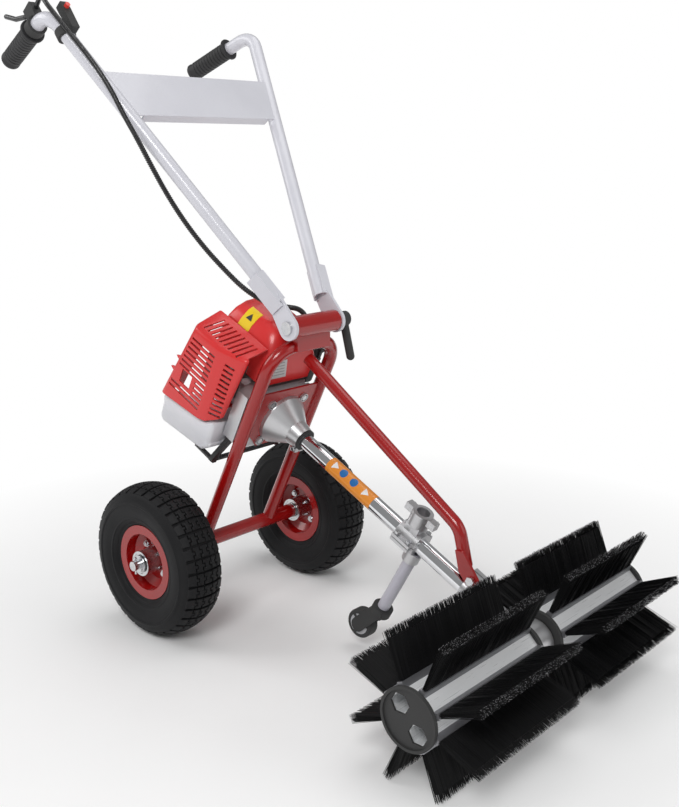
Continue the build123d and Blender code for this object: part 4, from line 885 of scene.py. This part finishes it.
@dataclass
class SilencerGuard:
    """Slotted guard on the engine's right side, over the silencer."""

    skin: float = 2.5
    slot_pitch: float = 9.5
    slot_height: float = 4.2
    rear_lean: float = 0.2
    opening_low: float = -8.0
    opening_high: float = 24.0

    def roof(self, v: float) -> float:
        """Return the roof's height at a distance across."""
        return 104.0 + (v + 110.0) / 2.0

    def columns(self) -> list[tuple[Point, Point]]:
        """Return the wall's bottom and top corners, from the rear round to the front lip."""
        return [
            ((-228.0, -60.0, -47.0), (-198.0, -60.0, self.roof(-60.0))),
            ((-228.0, -102.0, -47.0), (-198.0, -102.0, self.roof(-102.0))),
            ((-220.0, -110.0, -46.0), (-190.0, -110.0, self.roof(-110.0))),
            ((-125.0, -110.0, -32.0), (-133.0, -110.0, self.roof(-110.0))),
            ((-111.0, -107.5, -28.0), (-119.0, -107.5, self.roof(-107.5))),
            ((-89.0, -96.0, -11.0), (-76.0, -96.0, self.roof(-96.0))),
            ((-89.0, -90.0, -8.0), (-76.0, -90.0, self.roof(-90.0))),
        ]

    def build(self) -> None:
        """Build the skin, cut its slots and add its tabs."""
        columns = self.columns()
        count = len(columns)
        corners = [low for low, _ in columns] + [high for _, high in columns]
        corners += [(-125.0, -58.0, self.roof(-58.0)), (-76.0, -58.0, self.roof(-58.0))]
        faces = [(k, k + 1, count + k + 1, count + k) for k in range(count - 1)]
        middle, front = 2 * count, 2 * count + 1
        faces.append((count, count + 1, count + 2, count + 3, middle))
        faces.append((count + 3, count + 4, count + 5, count + 6, front, middle))
        points = np.array([tuple(DRIVE.at(*corner)) for corner in corners])
        piece = from_arrays("slotted_guard", points, faces)
        pick(piece)
        modifier = piece.modifiers.new("rounded", "BEVEL")
        modifier.width = 5.0 * MM
        modifier.segments = 3
        modifier.angle_limit = math.radians(25)
        bpy.ops.object.modifier_apply(modifier=modifier.name)
        modifier = piece.modifiers.new("skin", "SOLIDIFY")
        modifier.thickness = self.skin * MM
        modifier.offset = -1.0
        bpy.ops.object.modifier_apply(modifier=modifier.name)
        cut(piece, joined("slots", self.slots()))
        tabs = [self.tab(w) for w in (5.0, 30.0)]
        settle(joined("slotted_guard", [piece, *tabs]), 40.0)
        place(piece, RED_PLASTIC, Body.FRAME, "red_plastic", ["muffler_guard"])

    def tool(self, outline: Sequence[tuple[float, float]], low: float, high: float) -> bpy.types.Object:
        """Return an upright cutting tool over a (u, v) outline."""
        return prism("slot", [DRIVE.at(u, v, low) for u, v in outline], DRIVE.third * (high - low) * MM)

    def through_side(self, rear: float, front: float) -> list[tuple[float, float]]:
        """Return the outline of a tool that goes through the side wall between two distances."""
        return [(rear, -118.0), (front, -118.0), (front, -104.5), (rear, -104.5)]

    def slots(self) -> list[bpy.types.Object]:
        """Return the tools for the side slots, the square opening and the roof louvres."""
        tools = []
        for index in range(12):
            low = -21.0 + self.slot_pitch * index
            high = low + self.slot_height
            rear = -216.0 + (low + 47.0) * self.rear_lean
            beside_opening = self.opening_low < low < self.opening_high
            start = -155.0 if beside_opening else rear
            tools.append(self.tool(self.through_side(start, -131.0), low, high))
            if low > -14.0:
                chamfer = [(-110.0, -118.0), (-91.0, -110.0), (-91.0, -92.5), (-110.0, -100.0)]
                tools.append(self.tool(chamfer, low, high))
        tools.append(self.tool(self.through_side(-190.0, -164.0), -1.0, 24.0))
        for index in range(9):
            u = -184.0 + 10.5 * index
            louvre = [(u, -100.0), (u + 4.0, -100.0), (u + 14.0, -68.0), (u + 10.0, -68.0)]
            tools.append(self.tool(louvre, 98.0, 140.0))
        return tools

    def tab(self, w: float) -> bpy.types.Object:
        """Return one pointed tab on the rear edge."""
        rear = -228.0 + (w + 47.0) * self.rear_lean
        outline = [(rear + 2.0, w - 5.0), (rear - 8.0, w), (rear + 2.0, w + 5.0)]
        return prism("tab", [DRIVE.at(u, -102.0, height) for u, height in outline], DRIVE.second * 3.0 * MM)


@dataclass
class EngineCover:
    """Rounded red cover over the engine, with a plain hazard patch on its right shoulder."""

    base: float = 64.0
    section: tuple[tuple[float, float], ...] = (
        (-57, 64), (-57, 84), (-57, 104), (-56, 122), (-50, 138), (-40, 152), (-24, 161), (0, 164), (22, 163),
        (38, 153), (48, 134), (52, 108), (52, 84), (52, 64),
    )
    lobe: tuple[tuple[float, float], ...] = (
        (-184, 0.86), (-181, 0.91), (-176, 0.945), (-164, 0.97), (-152.2, 0.985),
    )
    body: tuple[tuple[float, float], ...] = (
        (-152, 1.0), (-130, 1.0), (-110, 1.0), (-94, 0.98), (-84, 0.93), (-77, 0.865), (-70, 0.76), (-64, 0.64),
    )
    lobe_edge: float = 14.0

    def ring(self, u: float, scale: float, edge: float) -> list[Point]:
        """Return the section at a station, scaled in height and cut off at an edge."""
        return [(u, min(v, edge), self.base + (w - self.base) * scale) for v, w in self.section]

    def build(self) -> None:
        """Build the cover and its patch."""
        rings = [self.ring(u, scale, self.lobe_edge) for u, scale in self.lobe]
        rings += [self.ring(u, scale, math.inf) for u, scale in self.body]
        size = len(self.section)
        points = np.array([tuple(DRIVE.at(*corner)) for ring in rings for corner in ring])
        faces: list[Sequence[int]] = []
        for ring in range(len(rings) - 1):
            for k in range(size - 1):
                low = ring * size + k
                faces.append((low, low + size, low + size + 1, low + 1))
        faces.append(tuple(range(size)))
        faces.append(tuple((len(rings) - 1) * size + k for k in reversed(range(size))))
        piece = from_arrays("engine_shroud", points, faces)
        edit(piece)
        bpy.ops.mesh.remove_doubles(threshold=1e-5)
        bpy.ops.mesh.normals_make_consistent(inside=False)
        settle(piece, 38.0)
        place(piece, RED_PLASTIC, Body.FRAME, "red_plastic", ["engine_cover"])
        self.build_patch()

    def build_patch(self) -> None:
        """Build the patch and the triangle on it."""
        under = [(-53.0, 128.5), (-48.5, 137.0), (-39.0, 150.5), (-31.5, 155.0)]
        over = [(-54.8, 128.0), (-50.6, 138.4), (-40.4, 152.6), (-32.2, 157.2)]
        outline = [DRIVE.at(-156.0, v, w) for v, w in under + over[::-1]]
        patch = settle(prism("hazard_patch", outline, DRIVE.first * 26.0 * MM))
        place(patch, YELLOW_PRINT, Body.FRAME, "red_plastic")
        outward = (DRIVE.second * -14.0 + DRIVE.third * 10.0).normalized()
        sideways = DRIVE.first.cross(outward)
        centre = DRIVE.at(-143.0, -45.5, 145.5) - outward * 0.4 * MM
        corners = [centre + (DRIVE.first * math.sin(a) * 8.0 - sideways * math.cos(a) * 8.0) * MM
                   for a in (2 * math.pi * k / 3 for k in range(3))]
        mark = settle(prism("hazard_mark", corners, outward * 0.8 * MM))
        place(mark, BLACK_PRINT, Body.FRAME, "red_plastic")


@dataclass
class FuelTank:
    """Milky tank under the engine, with a shoulder up to the silencer guard."""

    neck: tuple[float, float] = (-196.0, 48.0)

    def build(self) -> None:
        """Build the tank, its shoulder and its neck."""
        side = [
            (-217.0, -62.0), (-215.0, -92.0), (-207.0, -98.0), (-102.0, -83.0), (-87.0, -68.0), (-86.0, -60.0),
        ]
        tank = prism("milky_tank", [DRIVE.at(u, 64.0, w) for u, w in side], DRIVE.second * -168.0 * MM, 7.0)
        shoulder = [(-222.0, -50.0), (-117.0, -34.0), (-92.0, -20.0), (-88.0, -66.0), (-212.0, -78.0)]
        outline = [DRIVE.at(u, -66.0, w) for u, w in shoulder]
        raised = prism("shoulder", outline, DRIVE.second * -39.0 * MM, 6.0)
        cut(tank, raised, "UNION")
        neck = lathe(
            "neck", [(0.0, -70.0), (14.0, -70.0), (14.0, -52.0), (0.0, -52.0)],
            DRIVE.at(*self.neck, 0.0), DRIVE.third, 40,
        )
        settle(joined("milky_tank", [tank, neck]), 50.0)
        place(tank, TANK, Body.FRAME, "tank_plastic", ["fuel_tank"])


@dataclass
class EngineLabels:
    """Plain plate with bars on the cover's front."""

    def build(self) -> None:
        """Build the labels."""
        face = -63.8
        corners = [(face, -46.0, 76.0), (face, -6.0, 76.0), (face, -17.0, 112.0), (face, -46.0, 112.0)]
        plate = prism("silver_label", [DRIVE.at(*corner) for corner in corners], DRIVE.first * 0.5 * MM)
        settle(plate)
        place(plate, PLATE_PRINT, Body.FRAME, "red_plastic")
        bars = []
        for index in range(5):
            w = 82.0 + 6.0 * index
            high = -12.0 - 2.2 * index
            flat = [(-42.0, w), (high, w), (high, w + 1.6), (-42.0, w + 1.6)]
            outline = [DRIVE.at(face + 0.45, across, height) for across, height in flat]
            bars.append(prism("bar", outline, DRIVE.first * 0.2 * MM))
        piece = settle(joined("silver_label_bars", bars))
        place(piece, GREY_PRINT, Body.FRAME, "red_plastic")


@dataclass
class NoseRing:
    """Black rubber ring between the clutch housing's nose and the drive tube, with its pinch bolt."""

    def build(self) -> None:
        """Build the ring and the bolt."""
        profile = [(13.2, 13.0), (18.0, 13.0), (19.2, 14.2), (19.2, 17.5), (17.5, 19.0), (13.2, 19.0)]
        ring = settle(lathe("nose_ring", profile, DRIVE.origin, DRIVE.first, 40))
        place(ring, SOFT_RUBBER, Body.FRAME, "rubber")
        start = DRIVE.at(8.5, -14.0, -21.0)
        bolt = prism("bolt", hexagon(start, DRIVE.second, 4.6), DRIVE.second * 5.0 * MM, 0.5)
        shank = lathe("shank", [(0.0, 0.0), (2.4, 0.0), (2.4, 24.0), (0.0, 24.0)], start, DRIVE.second, 16)
        piece = settle(joined("nose_bolt", [bolt, shank]))
        place(piece, ZINC, Body.FRAME, "steel")


# ------------------------------------------------------------------ stage
@dataclass
class Studio:
    """Floor, soft lights and the camera."""

    target: Vector = field(default_factory=lambda: Vector((48.25, 4.13, 402.11)) * MM)
    azimuth: float = 42.13
    elevation: float = 13.46
    roll: float = -0.36
    distance: float = 1.64997
    lens: float = 46.22

    def camera(self) -> None:
        """Create the camera."""
        azimuth, elevation, roll = (math.radians(v) for v in (self.azimuth, self.elevation, self.roll))
        flat = math.cos(elevation)
        back = Vector((math.sin(azimuth) * flat, -math.cos(azimuth) * flat, math.sin(elevation)))
        level = Vector((0.0, 0.0, 1.0)).cross(back).normalized()
        upright = back.cross(level)
        right = level * math.cos(roll) + upright * math.sin(roll)
        upward = upright * math.cos(roll) - level * math.sin(roll)
        data = bpy.data.cameras.new("camera")
        data.lens = self.lens
        data.sensor_width = 36.0
        data.clip_end = 100.0
        camera = bpy.data.objects.new("camera", data)
        bpy.context.scene.collection.objects.link(camera)
        turned = Matrix((right, upward, back)).transposed().to_4x4()
        turned.translation = self.target + back * self.distance
        camera.matrix_world = turned
        bpy.context.scene.camera = camera

    def light(self, name: str, at: Point, size: float, watts: float) -> None:
        """Add one soft square light that faces the object."""
        data = bpy.data.lights.new(name, "AREA")
        data.size = size
        data.energy = watts
        lamp = bpy.data.objects.new(name, data)
        bpy.context.scene.collection.objects.link(lamp)
        lamp.location = at
        lamp.rotation_euler = (self.target - Vector(at)).to_track_quat("-Z", "Y").to_euler()

    def fade_floor(self, tree: bpy.types.NodeTree) -> None:
        """Let the floor run out to plain white away from the object."""
        geometry = tree.nodes.new("ShaderNodeNewGeometry")
        length = tree.nodes.new("ShaderNodeVectorMath")
        length.operation = "LENGTH"
        share = tree.nodes.new("ShaderNodeMapRange")
        share.inputs["From Min"].default_value = 0.35
        share.inputs["From Max"].default_value = 1.1
        glow = tree.nodes.new("ShaderNodeEmission")
        mix = tree.nodes.new("ShaderNodeMixShader")
        tree.links.new(geometry.outputs["Position"], length.inputs[0])
        tree.links.new(length.outputs["Value"], share.inputs["Value"])
        tree.links.new(share.outputs["Result"], mix.inputs["Fac"])
        tree.links.new(tree.nodes["Principled BSDF"].outputs["BSDF"], mix.inputs[1])
        tree.links.new(glow.outputs["Emission"], mix.inputs[2])
        tree.links.new(mix.outputs["Shader"], tree.nodes["Material Output"].inputs["Surface"])

    def seen_white(self, tree: bpy.types.NodeTree) -> None:
        """Light the object softly while the sky behind it is plain white."""
        path = tree.nodes.new("ShaderNodeLightPath")
        spread = tree.nodes.new("ShaderNodeMapRange")
        spread.inputs["To Min"].default_value = 0.28
        tree.links.new(path.outputs["Is Camera Ray"], spread.inputs["Value"])
        tree.links.new(spread.outputs["Result"], tree.nodes["Background"].inputs["Strength"])

    def build(self) -> None:
        """Build the floor, the lights and the sky."""
        deselect_all()
        bpy.ops.mesh.primitive_plane_add(size=60.0, location=(0.0, 0.0, -0.0005))
        floor = bpy.context.object
        floor.name = "floor"
        floor.data.materials.append(FLOOR_WHITE.material())
        self.fade_floor(floor.active_material.node_tree)
        self.light("key", (1.6, -2.6, 2.8), 1.3, 62.0)
        self.light("fill", (3.2, 1.2, 1.8), 2.0, 15.0)
        self.light("rim", (-2.2, -1.6, 2.2), 1.6, 24.0)
        self.light("top", (0.0, 0.6, 3.4), 2.2, 28.0)
        world = bpy.data.worlds.new("studio")
        world.use_nodes = True
        world.node_tree.nodes["Background"].inputs["Color"].default_value = (1.0, 1.0, 1.0, 1.0)
        self.seen_white(world.node_tree)
        bpy.context.scene.world = world
        bpy.context.scene.view_settings.view_transform = "Standard"


def main() -> None:
    """Build every sub-assembly in order."""
    logging.basicConfig(level=logging.INFO, format="%(message)s")
    studio = Studio()
    studio.camera()
    CarriedNodes().dress()
    builders: tuple[Callable[[], None], ...] = (
        ThrottleCable().build,
        Tyre(Body.RIGHT_WHEEL, "right_tyre", -178.0).build,
        Tyre(Body.LEFT_WHEEL, "left_tyre", 178.0).build,
        CasterHub().build,
        Bristles(-1.0).build,
        Bristles(1.0).build,
        Grips().build,
        DrivePrints().build,
        SilencerGuard().build,
        EngineCover().build,
        FuelTank().build,
        EngineLabels().build,
        NoseRing().build,
        studio.build,
    )
    for build in builders:
        build()


if __name__ == "__main__":
    main()
